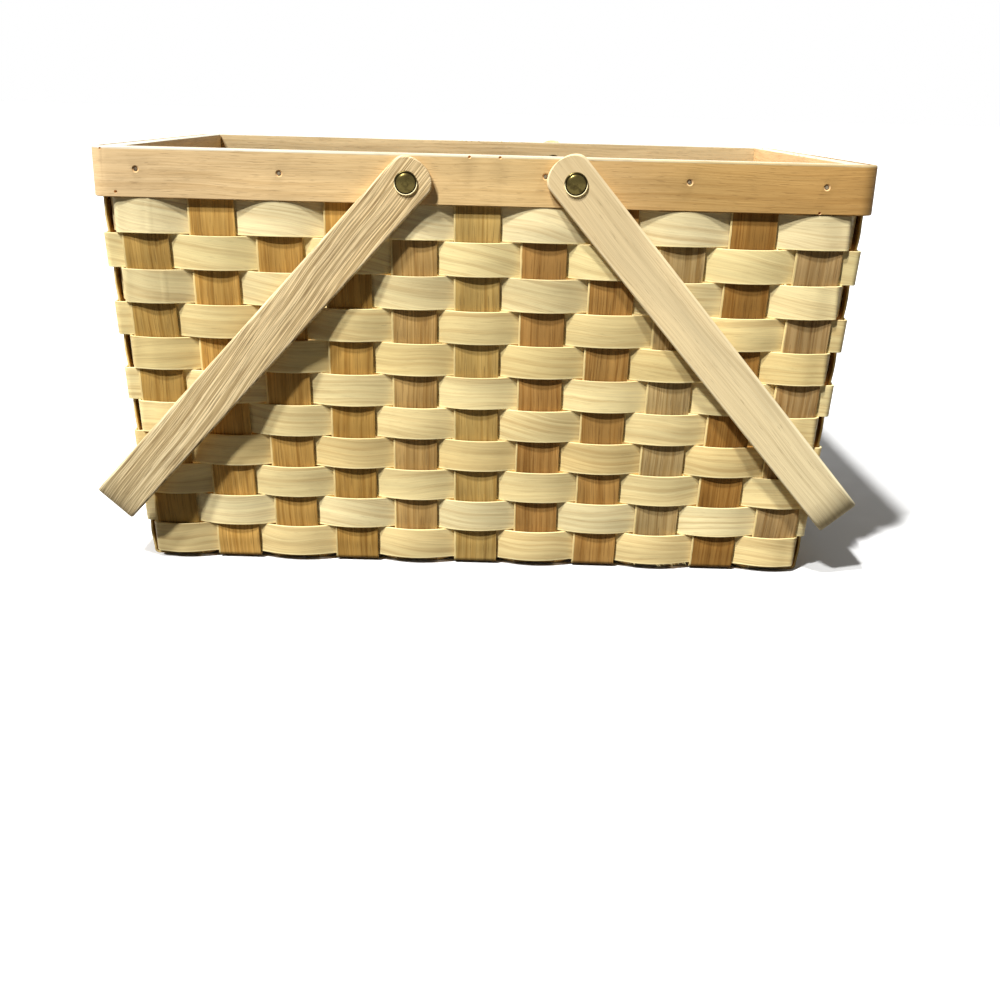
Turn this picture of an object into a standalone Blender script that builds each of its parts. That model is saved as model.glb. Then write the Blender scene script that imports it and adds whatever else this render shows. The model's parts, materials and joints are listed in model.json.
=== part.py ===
"""Woven wood-chip picnic basket with two drop handles.

The basket is plain-woven from soaked strips of veneer. Eleven long stakes run down the front
wall, across the base and up the back wall. Seven cross stakes run from end wall to end wall
and weave over and under the long stakes in the base. Eleven weavers run round the walls as
closed hoops. A bent outer band and four inner rails clamp the stake ends between them, held
by nails, and two bent wooden handles swing on four rivets.

Units are metres, +Z is up, +X runs along the basket and the front wall faces -Y.
The origin is the middle of the footprint, on the surface that the basket stands on.
"""
import math

import bmesh
import bpy
from mathutils import Matrix, Vector

# Rim
RIM_LENGTH = 0.407            # outside, along X
RIM_DEPTH = 0.250             # outside, along Y
RIM_HEIGHT = 0.0252
RIM_CORNER_R = 0.010          # outside of the bent band
BAND_T = 0.0032               # bent outer band
RAIL_T = 0.0070               # straight inner rails, front and back
END_RAIL_T = 0.0100           # and at the ends

# Strips
STAKE_W = 0.0245
STAKE_T = 0.0010
WEAVER_W = 0.0180
WEAVER_T = 0.0011
GAP = 0.0003                  # air between pieces that touch
EDGE_SLACK = 0.0003           # a weaver turns this far past a stake's edge
LONG_STAKES = 11
CROSS_STAKES = 7
WEAVERS = 11
FOOT_MARGIN = 0.0042          # last stake's edge to the corner of the wall, at the foot
LONG_RIM_MARGIN = 0.0087      # the same in the rim, long stakes
CROSS_RIM_MARGIN = 0.0052     # and cross stakes
STAKE_DROP = 0.0006           # stake ends lie this far below the top of the rim
BEND_R = 0.0022               # where a stake turns from the base into the wall
BOW = 0.0016                  # a weaver's belly over a stake
TUCK_SHARE = 0.72             # of the last long stake's margin: a weaver behind an end wall's
                              # stakes draws in this far before it turns the corner

# Walls: how far a wall swells out under the rim, and how far it then draws in at the foot
END_SWELL = -0.0009           # the end walls draw in here as well
END_TAPER = 0.0096
FRONT_SWELL = 0.0004
FRONT_TAPER = 0.0106

# Handles, each sawn, bent and riveted by eye, so the two differ a little
STRAP_W = 0.0245
STRAP_T = 0.0040
STRAP_BEND_R = 0.0140         # middle of the strap, at its two bends
STRAP_END_DEPTH = 0.0083      # length of the rounding at a strap's upper ends
HANDLE_GAP = 0.0004           # strap to rim
LEFT_PIVOT_X = -0.0398
RIGHT_PIVOT_X = 0.0472
LEFT_PIVOT_DROP = 0.0142      # pivots below the top of the rim
RIGHT_PIVOT_DROP = 0.0128
LEFT_REACH = 0.2459           # pivot to the outside of the crossbar
RIGHT_REACH = 0.2402
LEFT_END_REACH = 0.0130       # past the pivot
RIGHT_END_REACH = 0.0150
REST_GAP = 0.0004             # crossbar to the end wall's weave, handles down

# Rivets, washers and nails
SHANK_R = 0.0020
HEAD_R = 0.0061
HEAD_H = 0.0023
HEAD_EDGE_H = 0.0007
HEAD_SHOULDER_SHARES = (0.60, 0.87)   # of the head's radius and height, where its dome turns
TAIL_R = 0.0034
TAIL_H = 0.0016
TAIL_SHOULDER_SHARES = (0.70, 0.75)   # the same for the tail
WASHER_R = 0.0050
WASHER_T = 0.0010
NAIL_R = 0.0011
NAIL_DROP = 0.0110            # nails below the top of the rim
NAIL_SUNK = 0.0003
NAIL_LENGTH = 0.0100          # its point stops inside the inner rail
CUT_OVERRUN = 0.0020          # a cutter runs this far past what it cuts

# Set by hand: how far each long stake leans to the right at the rim, in shares of its width
LONG_LEAN_SHARES = (0.0, 0.0, -0.02, 0.0, -0.03, -0.14, -0.155, -0.09, -0.05, -0.03, 0.0)
# and each front nail's place, in shares of a stake's width to the right and of the nails' drop
FRONT_NAIL_SHARES = ((-0.03, 1.00), (0.09, 1.04), (0.03, 1.00), (-0.01, 0.88), (0.0, 0.97), (-0.08, 1.04))

# How finely round shapes are divided
ROUND_SIDES = 12
NAIL_SIDES = 6
CORNER_STEPS = 4
BEND_STEPS = 2
SHARP_ANGLE = 40              # degrees
MERGE_SHARE = 0.01            # of the gap: points of a turned piece closer than this are one
SEARCH_STEPS = 40             # halvings in the search for a handle's rest angle
MITRE_LIMIT = 0.5             # keeps a strip's width from running away in a tight corner

# Worked out from the sizes above
BASE_OFFSET = STAKE_T + GAP                       # between layers of stakes in the base
BASE_MID_Z = STAKE_T + GAP + STAKE_T / 2          # middle of the long stakes in the base
FOOT_Z = BASE_MID_Z + BEND_R                      # underside of the lowest weaver
ROW_PITCH = WEAVER_W + GAP
RIM_UNDER_Z = FOOT_Z + WEAVERS * ROW_PITCH
HEIGHT = RIM_UNDER_Z + RIM_HEIGHT
FIRST_ROW_UNDER_Z = RIM_UNDER_Z - ROW_PITCH - GAP / 2
CLAMP = BAND_T + GAP + STAKE_T / 2                # rim's outside to the middle of a stake
END_HALF = RIM_LENGTH / 2 - CLAMP                 # end walls' stake plane, in the rim
FRONT_HALF = RIM_DEPTH / 2 - CLAMP                # front and back stake plane, in the rim
WEAVE_OFFSET = STAKE_T / 2 + GAP + WEAVER_T / 2   # weaver's middle to the stake's middle
RAIL_FACE = CLAMP + STAKE_T / 2 + GAP             # rim's outside to a rail's outer face
RIM_WALL = RAIL_FACE + RAIL_T                     # whole thickness of the rim, front and back
PAST_EDGE = STAKE_W / 2 + EDGE_SLACK              # stake's middle to where a weaver turns
LEG_Y = RIM_DEPTH / 2 + HANDLE_GAP + STRAP_T / 2
NAILED_LONG = range(0, LONG_STAKES, 2)
NAILED_CROSS = (1, CROSS_STAKES - 2)

# Each piece has one of five shades, because veneer varies from strip to strip
SHADE_SHARES = (1.0, 0.86, 0.95, 0.82, 0.91)
# Finishes: colour, roughness and metallic
WEAVER_FINISH = (0.83, 0.70, 0.42), 0.50, 0.0
STAKE_FINISH = (0.55, 0.34, 0.16), 0.60, 0.0
RIM_FINISH = (0.74, 0.54, 0.32), 0.50, 0.0
HANDLE_FINISH = (0.68, 0.53, 0.33), 0.55, 0.0
BRASS_FINISH = (0.45, 0.36, 0.15), 0.30, 1.0
STEEL_FINISH = (0.16, 0.13, 0.10), 0.45, 0.8


def clear_scene():
    for obj in list(bpy.data.objects):
        bpy.data.objects.remove(obj, do_unlink=True)


def make_material(name, finish, step=0):
    """One material per piece; step picks its shade."""
    colour, roughness, metallic = finish
    shade = SHADE_SHARES[step % len(SHADE_SHARES)]
    mat = bpy.data.materials.new(name)
    mat.use_nodes = True
    shader = mat.node_tree.nodes["Principled BSDF"]
    shader.inputs["Base Color"].default_value = (*[c * shade for c in colour], 1.0)
    shader.inputs["Roughness"].default_value = roughness
    shader.inputs["Metallic"].default_value = metallic
    return mat


def add_object(name, bm, material, location=(0, 0, 0)):
    """Put a finished bmesh into the scene as one named piece."""
    bmesh.ops.recalc_face_normals(bm, faces=bm.faces)
    mesh = bpy.data.meshes.new(name)
    bm.to_mesh(mesh)
    bm.free()
    obj = bpy.data.objects.new(name, mesh)
    obj.location = location
    obj.data.materials.append(material)
    bpy.context.collection.objects.link(obj)
    return obj


def loft(sections, closed):
    """Skin a list of sections with equal corner counts; an open one gets flat ends."""
    bm = bmesh.new()
    loops = [[bm.verts.new(p) for p in section] for section in sections]
    sides = len(loops[0])
    pairs = list(zip(loops, loops[1:]))
    if closed:
        pairs.append((loops[-1], loops[0]))
    for a, b in pairs:
        for k in range(sides):
            bm.faces.new((a[k], a[(k + 1) % sides], b[(k + 1) % sides], b[k]))
    if not closed:
        bm.faces.new(loops[0])
        bm.faces.new(reversed(loops[-1]))
    return bm


def side_vectors(points, closed):
    """At each point of a flat path, the vector to its left whose offset keeps width at bends."""
    count = len(points)
    out = []
    for k, p in enumerate(points):
        before = points[k - 1] if closed or k > 0 else None
        after = points[(k + 1) % count] if closed or k < count - 1 else None
        d_in = (p - before).normalized() if before is not None else (after - p).normalized()
        d_out = (after - p).normalized() if after is not None else d_in
        along = (d_in + d_out).normalized()
        left = Vector((-along.y, along.x))
        out.append(left / max(MITRE_LIMIT, along.dot(d_in)))
    return out


def share(low, high, t):
    return low + (high - low) * t


def wall_half(rim_half, swell, taper, z):
    """Half of the basket's length or depth at the stakes' middle, at height z."""
    swollen = rim_half + swell
    if z >= RIM_UNDER_Z:
        return rim_half
    if z >= FIRST_ROW_UNDER_Z:
        return share(swollen, rim_half, (z - FIRST_ROW_UNDER_Z) / (RIM_UNDER_Z - FIRST_ROW_UNDER_Z))
    return share(swollen - taper, swollen, max(0.0, z - FOOT_Z) / (FIRST_ROW_UNDER_Z - FOOT_Z))


def end_half(z):
    return wall_half(END_HALF, END_SWELL, END_TAPER, z)


def front_half(z):
    return wall_half(FRONT_HALF, FRONT_SWELL, FRONT_TAPER, z)


def stake_centre(index, count, half_at, rim_margin, z):
    """Place of a stake along its wall; the row of stakes fans out from foot to rim."""
    pitches = []
    for height, margin in ((FOOT_Z, FOOT_MARGIN), (HEIGHT, rim_margin)):
        room = 2 * (half_at(height) - margin) - STAKE_W
        pitches.append(room / (count - 1))
    pitch = share(*pitches, max(0.0, z - FOOT_Z) / (HEIGHT - FOOT_Z))
    return (index - (count - 1) / 2) * pitch


def long_x(index, z):
    lean = STAKE_W * LONG_LEAN_SHARES[index % len(LONG_LEAN_SHARES)]
    upright = stake_centre(index, LONG_STAKES, end_half, LONG_RIM_MARGIN, z)
    return upright + lean * max(0.0, z - FOOT_Z) / (HEIGHT - FOOT_Z)


def long_x_from_right(index, z):
    """The same stakes counted from the right, with X reversed, as seen from behind."""
    return -long_x(LONG_STAKES - 1 - index, z)


def cross_y(index, z):
    return stake_centre(index, CROSS_STAKES, front_half, CROSS_RIM_MARGIN, z)


def bend_points(half, exit_z, toward):
    """Quarter turn from the wall at half down into the base at exit_z, as (across, z)."""
    points = []
    for k in range(BEND_STEPS + 1):
        a = math.pi / 2 * k / BEND_STEPS
        across = half - BEND_R * (1 - math.cos(a))
        points.append((toward * across, exit_z + BEND_R * (1 - math.sin(a))))
    return points


def wall_points(half_at, exit_z, toward):
    """One upright arm of a stake, from its clamped end down to the base."""
    arm = [(toward * half_at(z), z) for z in (HEIGHT - STAKE_DROP, RIM_UNDER_Z, FIRST_ROW_UNDER_Z)]
    arm.append((toward * half_at(FOOT_Z), FOOT_Z))
    bend = bend_points(half_at(FOOT_Z), exit_z, toward)
    if bend[0][1] >= FOOT_Z - GAP:
        arm.pop()
    return arm + bend


def stake_body(path, place, along_y):
    """Strip of veneer on an (across, z) path; place(z) gives where it stands along the wall."""
    points = [Vector(p) for p in path]
    sections = []
    for p, side in zip(points, side_vectors(points, closed=False)):
        section = []
        for face, edge in ((-1, -1), (1, -1), (1, 1), (-1, 1)):
            q = p + side * (face * STAKE_T / 2)
            s = place(p.y) + edge * STAKE_W / 2
            section.append((s, q.x, q.y) if along_y else (q.x, s, q.y))
        sections.append(section)
    return loft(sections, closed=False)


def make_long_stake(index):
    name = f"long_stake_{index + 1:02d}"
    path = wall_points(front_half, BASE_MID_Z, -1)
    path += reversed(wall_points(front_half, BASE_MID_Z, 1))
    bm = stake_body(path, lambda z: long_x(index, z), along_y=True)
    return add_object(name, bm, make_material(name, STAKE_FINISH, step=index))


def base_level(index, k):
    """Height of a cross stake's middle in the base, over or under long stake k."""
    return BASE_MID_Z + (BASE_OFFSET if (index + k) % 2 else -BASE_OFFSET)


def make_cross_stake(index):
    """A cross stake passes alternately over and under the long stakes in the base."""
    name = f"cross_stake_{index + 1}"
    path = wall_points(end_half, base_level(index, 0), -1)
    for k in range(LONG_STAKES):
        level, centre = base_level(index, k), long_x(k, FOOT_Z)
        if k > 0:
            path.append((centre - PAST_EDGE, level))
        if k < LONG_STAKES - 1:
            path.append((centre + PAST_EDGE, level))
    path += reversed(wall_points(end_half, base_level(index, LONG_STAKES - 1), 1))
    bm = stake_body(path, lambda z: cross_y(index, z), along_y=False)
    return add_object(name, bm, make_material(name, STAKE_FINISH, step=index + 2))


def hoop_path(row, z):
    """A weaver's middle line at height z, over one stake and under the next, all the way round.

    Sides are walked front, right, back and left. Each has its own along and outward direction.
    The number of stakes is even, so the hoop closes without a fault in the weave.
    """
    sides = (
        (Vector((1, 0)), LONG_STAKES, long_x, end_half, front_half),
        (Vector((0, 1)), CROSS_STAKES, cross_y, front_half, end_half),
        (Vector((-1, 0)), LONG_STAKES, long_x_from_right, end_half, front_half),
        (Vector((0, -1)), CROSS_STAKES, cross_y, front_half, end_half),
    )
    tuck = TUCK_SHARE * (end_half(z) - long_x(LONG_STAKES - 1, z) - STAKE_W / 2)
    points = []
    first = 0
    for along, count, place, length_half, wall in sides:
        outward = Vector((along.y, -along.x))
        levels = [WEAVE_OFFSET if (first + k + row) % 2 == 0 else -WEAVE_OFFSET for k in range(count)]
        margin = length_half(z) - place(count - 1, z) - STAKE_W / 2
        turn = margin - WEAVE_OFFSET - 2 * EDGE_SLACK
        start = -length_half(z) + levels[0] + turn
        end = length_half(z) - levels[-1] - turn
        behind = -tuck if wall is end_half else -WEAVE_OFFSET
        corner_levels = [level if level > 0 else behind for level in (levels[0], levels[-1])]
        points.append(along * start + outward * (wall(z) + corner_levels[0]))
        for k, level in enumerate(levels):
            centre = place(k, z)
            points.append(along * (centre - PAST_EDGE) + outward * (wall(z) + level))
            if level > 0:
                points.append(along * centre + outward * (wall(z) + level + BOW))
            points.append(along * (centre + PAST_EDGE) + outward * (wall(z) + level))
        points.append(along * end + outward * (wall(z) + corner_levels[1]))
        first += count
    return points


def make_weaver(row):
    name = f"weaver_{row + 1:02d}"
    top_z = RIM_UNDER_Z - GAP - row * ROW_PITCH
    low_z = top_z - WEAVER_W
    low, top = hoop_path(row, low_z), hoop_path(row, top_z)
    sections = []
    for p, q, n, m in zip(low, top, side_vectors(low, True), side_vectors(top, True)):
        half = WEAVER_T / 2
        sections.append([(*(p - n * half), low_z), (*(q - m * half), top_z),
                         (*(q + m * half), top_z), (*(p + n * half), low_z)])
    bm = loft(sections, closed=True)
    return add_object(name, bm, make_material(name, WEAVER_FINISH, step=row))


def rounded_rectangle(half_x, half_y, radius):
    """Corner points of a rectangle with round corners, anticlockwise from the front right."""
    points = []
    for quarter, (sx, sy) in enumerate(((1, -1), (1, 1), (-1, 1), (-1, -1))):
        for k in range(CORNER_STEPS + 1):
            a = math.radians(90 * (quarter - 1 + k / CORNER_STEPS))
            points.append(Vector((sx * (half_x - radius) + radius * math.cos(a),
                                  sy * (half_y - radius) + radius * math.sin(a))))
    return points


def make_outer_band(guides):
    half_x, half_y = RIM_LENGTH / 2, RIM_DEPTH / 2
    outside = rounded_rectangle(half_x, half_y, RIM_CORNER_R)
    inside = rounded_rectangle(half_x - BAND_T, half_y - BAND_T, RIM_CORNER_R - BAND_T)
    sections = [[(*p, RIM_UNDER_Z), (*p, HEIGHT), (*q, HEIGHT), (*q, RIM_UNDER_Z)]
                for p, q in zip(outside, inside)]
    name = "rim_outer_band"
    band = add_object(name, loft(sections, closed=True), make_material(name, RIM_FINISH))
    cut_holes(band, *guides)


def prism(outline, low_z, high_z):
    """Upright solid on a plan outline, by one extrusion."""
    bm = bmesh.new()
    face = bm.faces.new([bm.verts.new((p[0], p[1], low_z)) for p in outline])
    grown = bmesh.ops.extrude_face_region(bm, geom=[face])
    verts = [v for v in grown["geom"] if isinstance(v, bmesh.types.BMVert)]
    bmesh.ops.translate(bm, verts=verts, vec=(0, 0, high_z - low_z))
    return bm


def make_inner_rails(guides):
    """Long rails run the full length inside the band; short ones fit between them."""
    half_x, half_y = RIM_LENGTH / 2 - RAIL_FACE, RIM_DEPTH / 2 - RAIL_FACE
    inner_x, inner_y = half_x - END_RAIL_T, half_y - RAIL_T
    corner_r = RIM_CORNER_R - RAIL_FACE
    loop = rounded_rectangle(half_x, half_y, corner_r)
    per_corner = CORNER_STEPS + 1
    front = [p for p in loop[3 * per_corner:] + loop[:per_corner] if p.y < 0]
    front += [Vector((half_x, -inner_y)), Vector((-half_x, -inner_y))]
    back = [Vector((-p.x, -p.y)) for p in front]
    butt_y = inner_y - GAP
    right = [Vector((inner_x, -butt_y)), Vector((half_x, -butt_y)),
             Vector((half_x, butt_y)), Vector((inner_x, butt_y))]
    left = [Vector((-p.x, -p.y)) for p in right]
    outlines = {"front": front, "back": back, "left": left, "right": right}
    for step, (where, outline) in enumerate(outlines.items()):
        name = f"inner_rail_{where}"
        bm = prism(outline, RIM_UNDER_Z, HEIGHT)
        rail = add_object(name, bm, make_material(name, RIM_FINISH, step=step))
        cut_holes(rail, *guides)


def turned(profile, sides):
    """Solid of revolution about local Z from (radius, height) points that start and end on it."""
    bm = bmesh.new()
    verts = [bm.verts.new((r, 0, h)) for r, h in profile]
    edges = [bm.edges.new(pair) for pair in zip(verts, verts[1:])]
    bmesh.ops.spin(bm, geom=verts + edges, cent=(0, 0, 0), axis=(0, 0, 1),
                   angle=math.tau, steps=sides, use_merge=True)
    bmesh.ops.remove_doubles(bm, verts=bm.verts, dist=GAP * MERGE_SHARE)
    return bm


def aim(obj, point, outward):
    """Stand a turned piece at a point, with its local Z along the outward direction."""
    obj.location = point
    obj.rotation_euler = Vector(outward).to_track_quat("Z", "Y").to_euler()


def smooth_round(obj):
    obj.data.shade_smooth()
    obj.data.set_sharp_from_angle(angle=math.radians(SHARP_ANGLE))


def rivet_places():
    """Name, point on the rim's outside, and outward direction of each of the four rivets."""
    pivots = (("left", LEFT_PIVOT_X, LEFT_PIVOT_DROP), ("right", RIGHT_PIVOT_X, RIGHT_PIVOT_DROP))
    for side, x, drop in pivots:
        for where, s in (("front", -1), ("back", 1)):
            yield f"{side}_{where}", Vector((x, s * RIM_DEPTH / 2, HEIGHT - drop)), Vector((0, s, 0))


def nail_places():
    """Name, point on the rim's outside, and outward direction of each nail."""
    level = HEIGHT - NAIL_DROP
    for n, (k, (side_share, drop_share)) in enumerate(zip(NAILED_LONG, FRONT_NAIL_SHARES)):
        z = HEIGHT - NAIL_DROP * drop_share
        x = long_x(k, z) + STAKE_W * side_share
        yield f"front_{n + 1}", Vector((x, -RIM_DEPTH / 2, z)), Vector((0, -1, 0))
    for n, k in enumerate(NAILED_LONG):
        yield f"back_{n + 1}", Vector((long_x(k, level), RIM_DEPTH / 2, level)), Vector((0, 1, 0))
    for where, s in (("left", -1), ("right", 1)):
        for n, k in enumerate(NAILED_CROSS):
            point = Vector((s * RIM_LENGTH / 2, cross_y(k, level), level))
            yield f"{where}_{n + 1}", point, Vector((s, 0, 0))


def make_rivet(label, point, outward):
    """Domed head outside the strap, shank through the rim, and a turned-over tail inside."""
    head_low = HANDLE_GAP + STRAP_T + GAP
    tail_high = -(RIM_WALL + 2 * GAP + WASHER_T)
    head_turn, head_rise = HEAD_SHOULDER_SHARES
    tail_turn, tail_rise = TAIL_SHOULDER_SHARES
    profile = [(0, tail_high - TAIL_H), (TAIL_R * tail_turn, tail_high - TAIL_H * tail_rise),
               (TAIL_R, tail_high), (SHANK_R, tail_high), (SHANK_R, head_low),
               (HEAD_R, head_low), (HEAD_R, head_low + HEAD_EDGE_H),
               (HEAD_R * head_turn, head_low + HEAD_H * head_rise), (0, head_low + HEAD_H)]
    name = f"rivet_{label}"
    rivet = add_object(name, turned(profile, ROUND_SIDES), make_material(name, BRASS_FINISH))
    aim(rivet, point, outward)
    smooth_round(rivet)


def make_washer(label, point, outward):
    """Ring between the inner rail and the rivet's tail."""
    high = -(RIM_WALL + GAP)
    bore = SHANK_R + GAP
    sections = []
    for k in range(ROUND_SIDES):
        c, s = math.cos(math.tau * k / ROUND_SIDES), math.sin(math.tau * k / ROUND_SIDES)
        sections.append([(r * c, r * s, h) for r, h in ((bore, high - WASHER_T), (bore, high),
                                                        (WASHER_R, high), (WASHER_R, high - WASHER_T))])
    name = f"washer_{label}"
    washer = add_object(name, loft(sections, closed=True), make_material(name, BRASS_FINISH))
    aim(washer, point, outward)
    smooth_round(washer)


def make_nail(label, point, outward):
    """Plain wire nail, its head sunk in the band and its point inside the inner rail."""
    low = -NAIL_SUNK - NAIL_LENGTH
    profile = [(0, low), (NAIL_R, low + NAIL_R), (NAIL_R, -NAIL_SUNK), (0, -NAIL_SUNK)]
    name = f"nail_{label}"
    nail = add_object(name, turned(profile, NAIL_SIDES), make_material(name, STEEL_FINISH))
    aim(nail, point, outward)


def make_guide(name, places, radius, sides, outer, depth):
    """Rods for one kind of hole, from outer outside the rim's face to depth inside it."""
    bm = bmesh.new()
    for _, point, outward in places:
        turn = outward.to_track_quat("Z", "Y").to_matrix().to_4x4()
        middle = Matrix.Translation((0, 0, (outer - depth) / 2))
        open_radius = (radius + GAP) / math.cos(math.pi / sides)
        bmesh.ops.create_cone(bm, cap_ends=True, segments=sides, radius1=open_radius, radius2=open_radius,
                              depth=outer + depth, matrix=Matrix.Translation(point) @ turn @ middle)
    guide = add_object(name, bm, make_material(name, STEEL_FINISH))
    guide.hide_render = True
    guide.display_type = "WIRE"
    return guide


def cut_holes(obj, *guides):
    for guide in guides:
        cut = obj.modifiers.new(guide.name, "BOOLEAN")
        cut.operation = "DIFFERENCE"
        cut.solver = "EXACT"
        cut.object = guide


def strap_path(reach, end_reach):
    """Middle line of a handle with its half width, as (along the legs, across the basket, half).

    Each upper end is sawn to half an oval, with a small flat left at its tip.
    """
    bar = reach - STRAP_T / 2
    path = []
    for k in range(1, CORNER_STEPS + 2):
        a = math.pi / 2 * k / (CORNER_STEPS + 1)
        path.append((-end_reach + STRAP_END_DEPTH * (1 - math.cos(a)), -LEG_Y, STRAP_W / 2 * math.sin(a)))
    for k in range(CORNER_STEPS + 1):
        a = math.pi / 2 * k / CORNER_STEPS
        path.append((bar - STRAP_BEND_R + STRAP_BEND_R * math.sin(a),
                     -LEG_Y + STRAP_BEND_R * (1 - math.cos(a)), STRAP_W / 2))
    return path + [(u, -v, half) for u, v, half in reversed(path)]


def rest_angle(pivot_x, pivot_z, reach):
    """How far below horizontal a handle hangs before its crossbar meets the end wall's weave."""
    bar, half = reach - STRAP_T, STRAP_W / 2
    low, high = 0.0, math.pi / 2
    for _ in range(SEARCH_STEPS):
        a = (low + high) / 2
        corner_x = abs(pivot_x) + bar * math.cos(a) - half * math.sin(a)
        corner_z = pivot_z - bar * math.sin(a) - half * math.cos(a)
        belly = end_half(corner_z) + WEAVE_OFFSET + BOW + WEAVER_T / 2
        if corner_x > belly + REST_GAP:
            low = a
        else:
            high = a
    return low


def make_handle(side, pivot_x, pivot_drop, reach, end_reach, rivet_guide):
    """Strap bent into a U; its origin is the middle of its pivot axis."""
    path = strap_path(reach, end_reach)
    points = [Vector((u, v)) for u, v, _ in path]
    sections = []
    for p, n, (_, _, half) in zip(points, side_vectors(points, closed=False), path):
        outer, inner = p - n * (STRAP_T / 2), p + n * (STRAP_T / 2)
        sections.append([(*outer, -half), (*outer, half), (*inner, half), (*inner, -half)])
    name = f"handle_{side}"
    pivot_z = HEIGHT - pivot_drop
    handle = add_object(name, loft(sections, closed=False), make_material(name, HANDLE_FINISH),
                        location=(pivot_x, 0, pivot_z))
    drop = rest_angle(pivot_x, pivot_z, reach)
    handle.rotation_euler = (0, drop if pivot_x > 0 else math.pi - drop, 0)
    print(f"{name} hangs {math.degrees(drop):.2f} degrees below horizontal")
    cut_holes(handle, rivet_guide)


def main():
    clear_scene()
    rivet_guide = make_guide("rivet_guide", rivet_places(), SHANK_R, ROUND_SIDES,
                             HANDLE_GAP + STRAP_T + CUT_OVERRUN, RIM_WALL + CUT_OVERRUN)
    nail_guide = make_guide("nail_guide", nail_places(), NAIL_R, NAIL_SIDES,
                            HANDLE_GAP, NAIL_SUNK + NAIL_LENGTH + GAP)
    guides = (rivet_guide, nail_guide)
    for index in range(LONG_STAKES):
        cut_holes(make_long_stake(index), *guides)
    for index in range(CROSS_STAKES):
        cut_holes(make_cross_stake(index), *guides)
    for row in range(WEAVERS):
        make_weaver(row)
    make_outer_band(guides)
    make_inner_rails(guides)
    for label, point, outward in rivet_places():
        make_rivet(label, point, outward)
        make_washer(label, point, outward)
    for label, point, outward in nail_places():
        make_nail(label, point, outward)
    make_handle("left", LEFT_PIVOT_X, LEFT_PIVOT_DROP, LEFT_REACH, LEFT_END_REACH, rivet_guide)
    make_handle("right", RIGHT_PIVOT_X, RIGHT_PIVOT_DROP, RIGHT_REACH, RIGHT_END_REACH, rivet_guide)
    bpy.context.view_layer.update()


main()
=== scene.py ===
# %% [markdown]
# # A woven wood-chip basket with two drop handles
#
# The real basket is plaited from thin strips of veneer that were soaked, bent and nailed into a
# wooden rim. Three things make it look right: strips that really pass over and under each
# other, grain that runs along each strip, and strips that aren't all the same colour. The frame
# gives every place and size. This file gives the strips their curves, edges and wood.

# %% Load the frame
import json
import math

import bmesh
import bpy
import numpy as np
from mathutils import Matrix, Vector

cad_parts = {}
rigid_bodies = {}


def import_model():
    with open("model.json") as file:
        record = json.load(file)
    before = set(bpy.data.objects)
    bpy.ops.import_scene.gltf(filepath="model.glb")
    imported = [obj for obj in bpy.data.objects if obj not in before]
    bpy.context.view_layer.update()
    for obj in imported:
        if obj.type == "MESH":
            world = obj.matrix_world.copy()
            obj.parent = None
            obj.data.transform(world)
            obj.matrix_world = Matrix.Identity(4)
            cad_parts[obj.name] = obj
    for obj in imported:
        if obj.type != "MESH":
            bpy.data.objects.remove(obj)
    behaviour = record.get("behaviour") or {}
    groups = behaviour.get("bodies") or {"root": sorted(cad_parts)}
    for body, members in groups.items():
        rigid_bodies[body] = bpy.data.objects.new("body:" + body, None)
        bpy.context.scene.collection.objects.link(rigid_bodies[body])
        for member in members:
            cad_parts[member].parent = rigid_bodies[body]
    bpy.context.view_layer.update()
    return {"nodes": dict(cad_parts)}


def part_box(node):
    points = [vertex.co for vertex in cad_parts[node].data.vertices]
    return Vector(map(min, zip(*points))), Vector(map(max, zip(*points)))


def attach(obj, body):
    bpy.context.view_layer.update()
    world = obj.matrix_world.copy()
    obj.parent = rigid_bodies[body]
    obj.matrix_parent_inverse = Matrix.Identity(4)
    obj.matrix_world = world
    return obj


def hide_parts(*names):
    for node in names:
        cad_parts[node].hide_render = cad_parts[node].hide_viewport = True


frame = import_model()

scene = bpy.context.scene

# %% [markdown]
# ## Measure the frame
#
# Places could be typed again by hand, but then a changed basket would leave its looks behind.
# Instead they are read from the boxes of the nodes: the band gives the rim, the outermost
# stakes give how the walls lean in, and each weaver gives the height of its row.

# %% Measure the frame
MM = 0.001
GAP = 0.3 * MM                 # air between pieces that touch
STAKE_T = 1.0 * MM
WEAVER_T = 1.1 * MM
BAND_T = 3.2 * MM
BOW = 1.6 * MM                 # a weaver's belly over a stake
WEAVE_OFFSET = STAKE_T / 2 + GAP + WEAVER_T / 2

LONG = [f"long_stake_{n:02d}" for n in range(1, 12)]
CROSS = [f"cross_stake_{n}" for n in range(1, 8)]
WEAVERS = [f"weaver_{n:02d}" for n in range(1, 12)]
BOXES = {name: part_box(name) for name in frame["nodes"]}

rim_low, rim_high = BOXES["rim_outer_band"]
RIM_UNDER, RIM_TOP = rim_low.z, rim_high.z
RIM_WALL = rim_high.y - BOXES["inner_rail_back"][0].y
middle_stake = BOXES[CROSS[len(CROSS) // 2]]
STAKE_W = middle_stake[1].y - middle_stake[0].y
ROWS = [(BOXES[name][0].z, BOXES[name][1].z) for name in WEAVERS]
WEAVER_W = ROWS[0][1] - ROWS[0][0]
ROW_PITCH = ROWS[0][0] - ROWS[1][0]
FOOT = ROWS[-1][0]
FIRST_ROW_UNDER = ROWS[0][0] - GAP / 2
CLAMP = BAND_T + GAP + STAKE_T / 2


def wall_line(axis):
    """Half size between the stakes' middles at the foot, under the first row and in the rim."""
    low, high = (BOXES[WEAVERS[n]][1] for n in (-1, 1))
    slope = (high[axis] - low[axis]) / (high.z - low.z)
    foot = low[axis] - WEAVER_T / 2 - BOW - WEAVE_OFFSET - slope * (low.z - FOOT)
    return foot, foot + slope * (FIRST_ROW_UNDER - FOOT), rim_high[axis] - CLAMP


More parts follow.
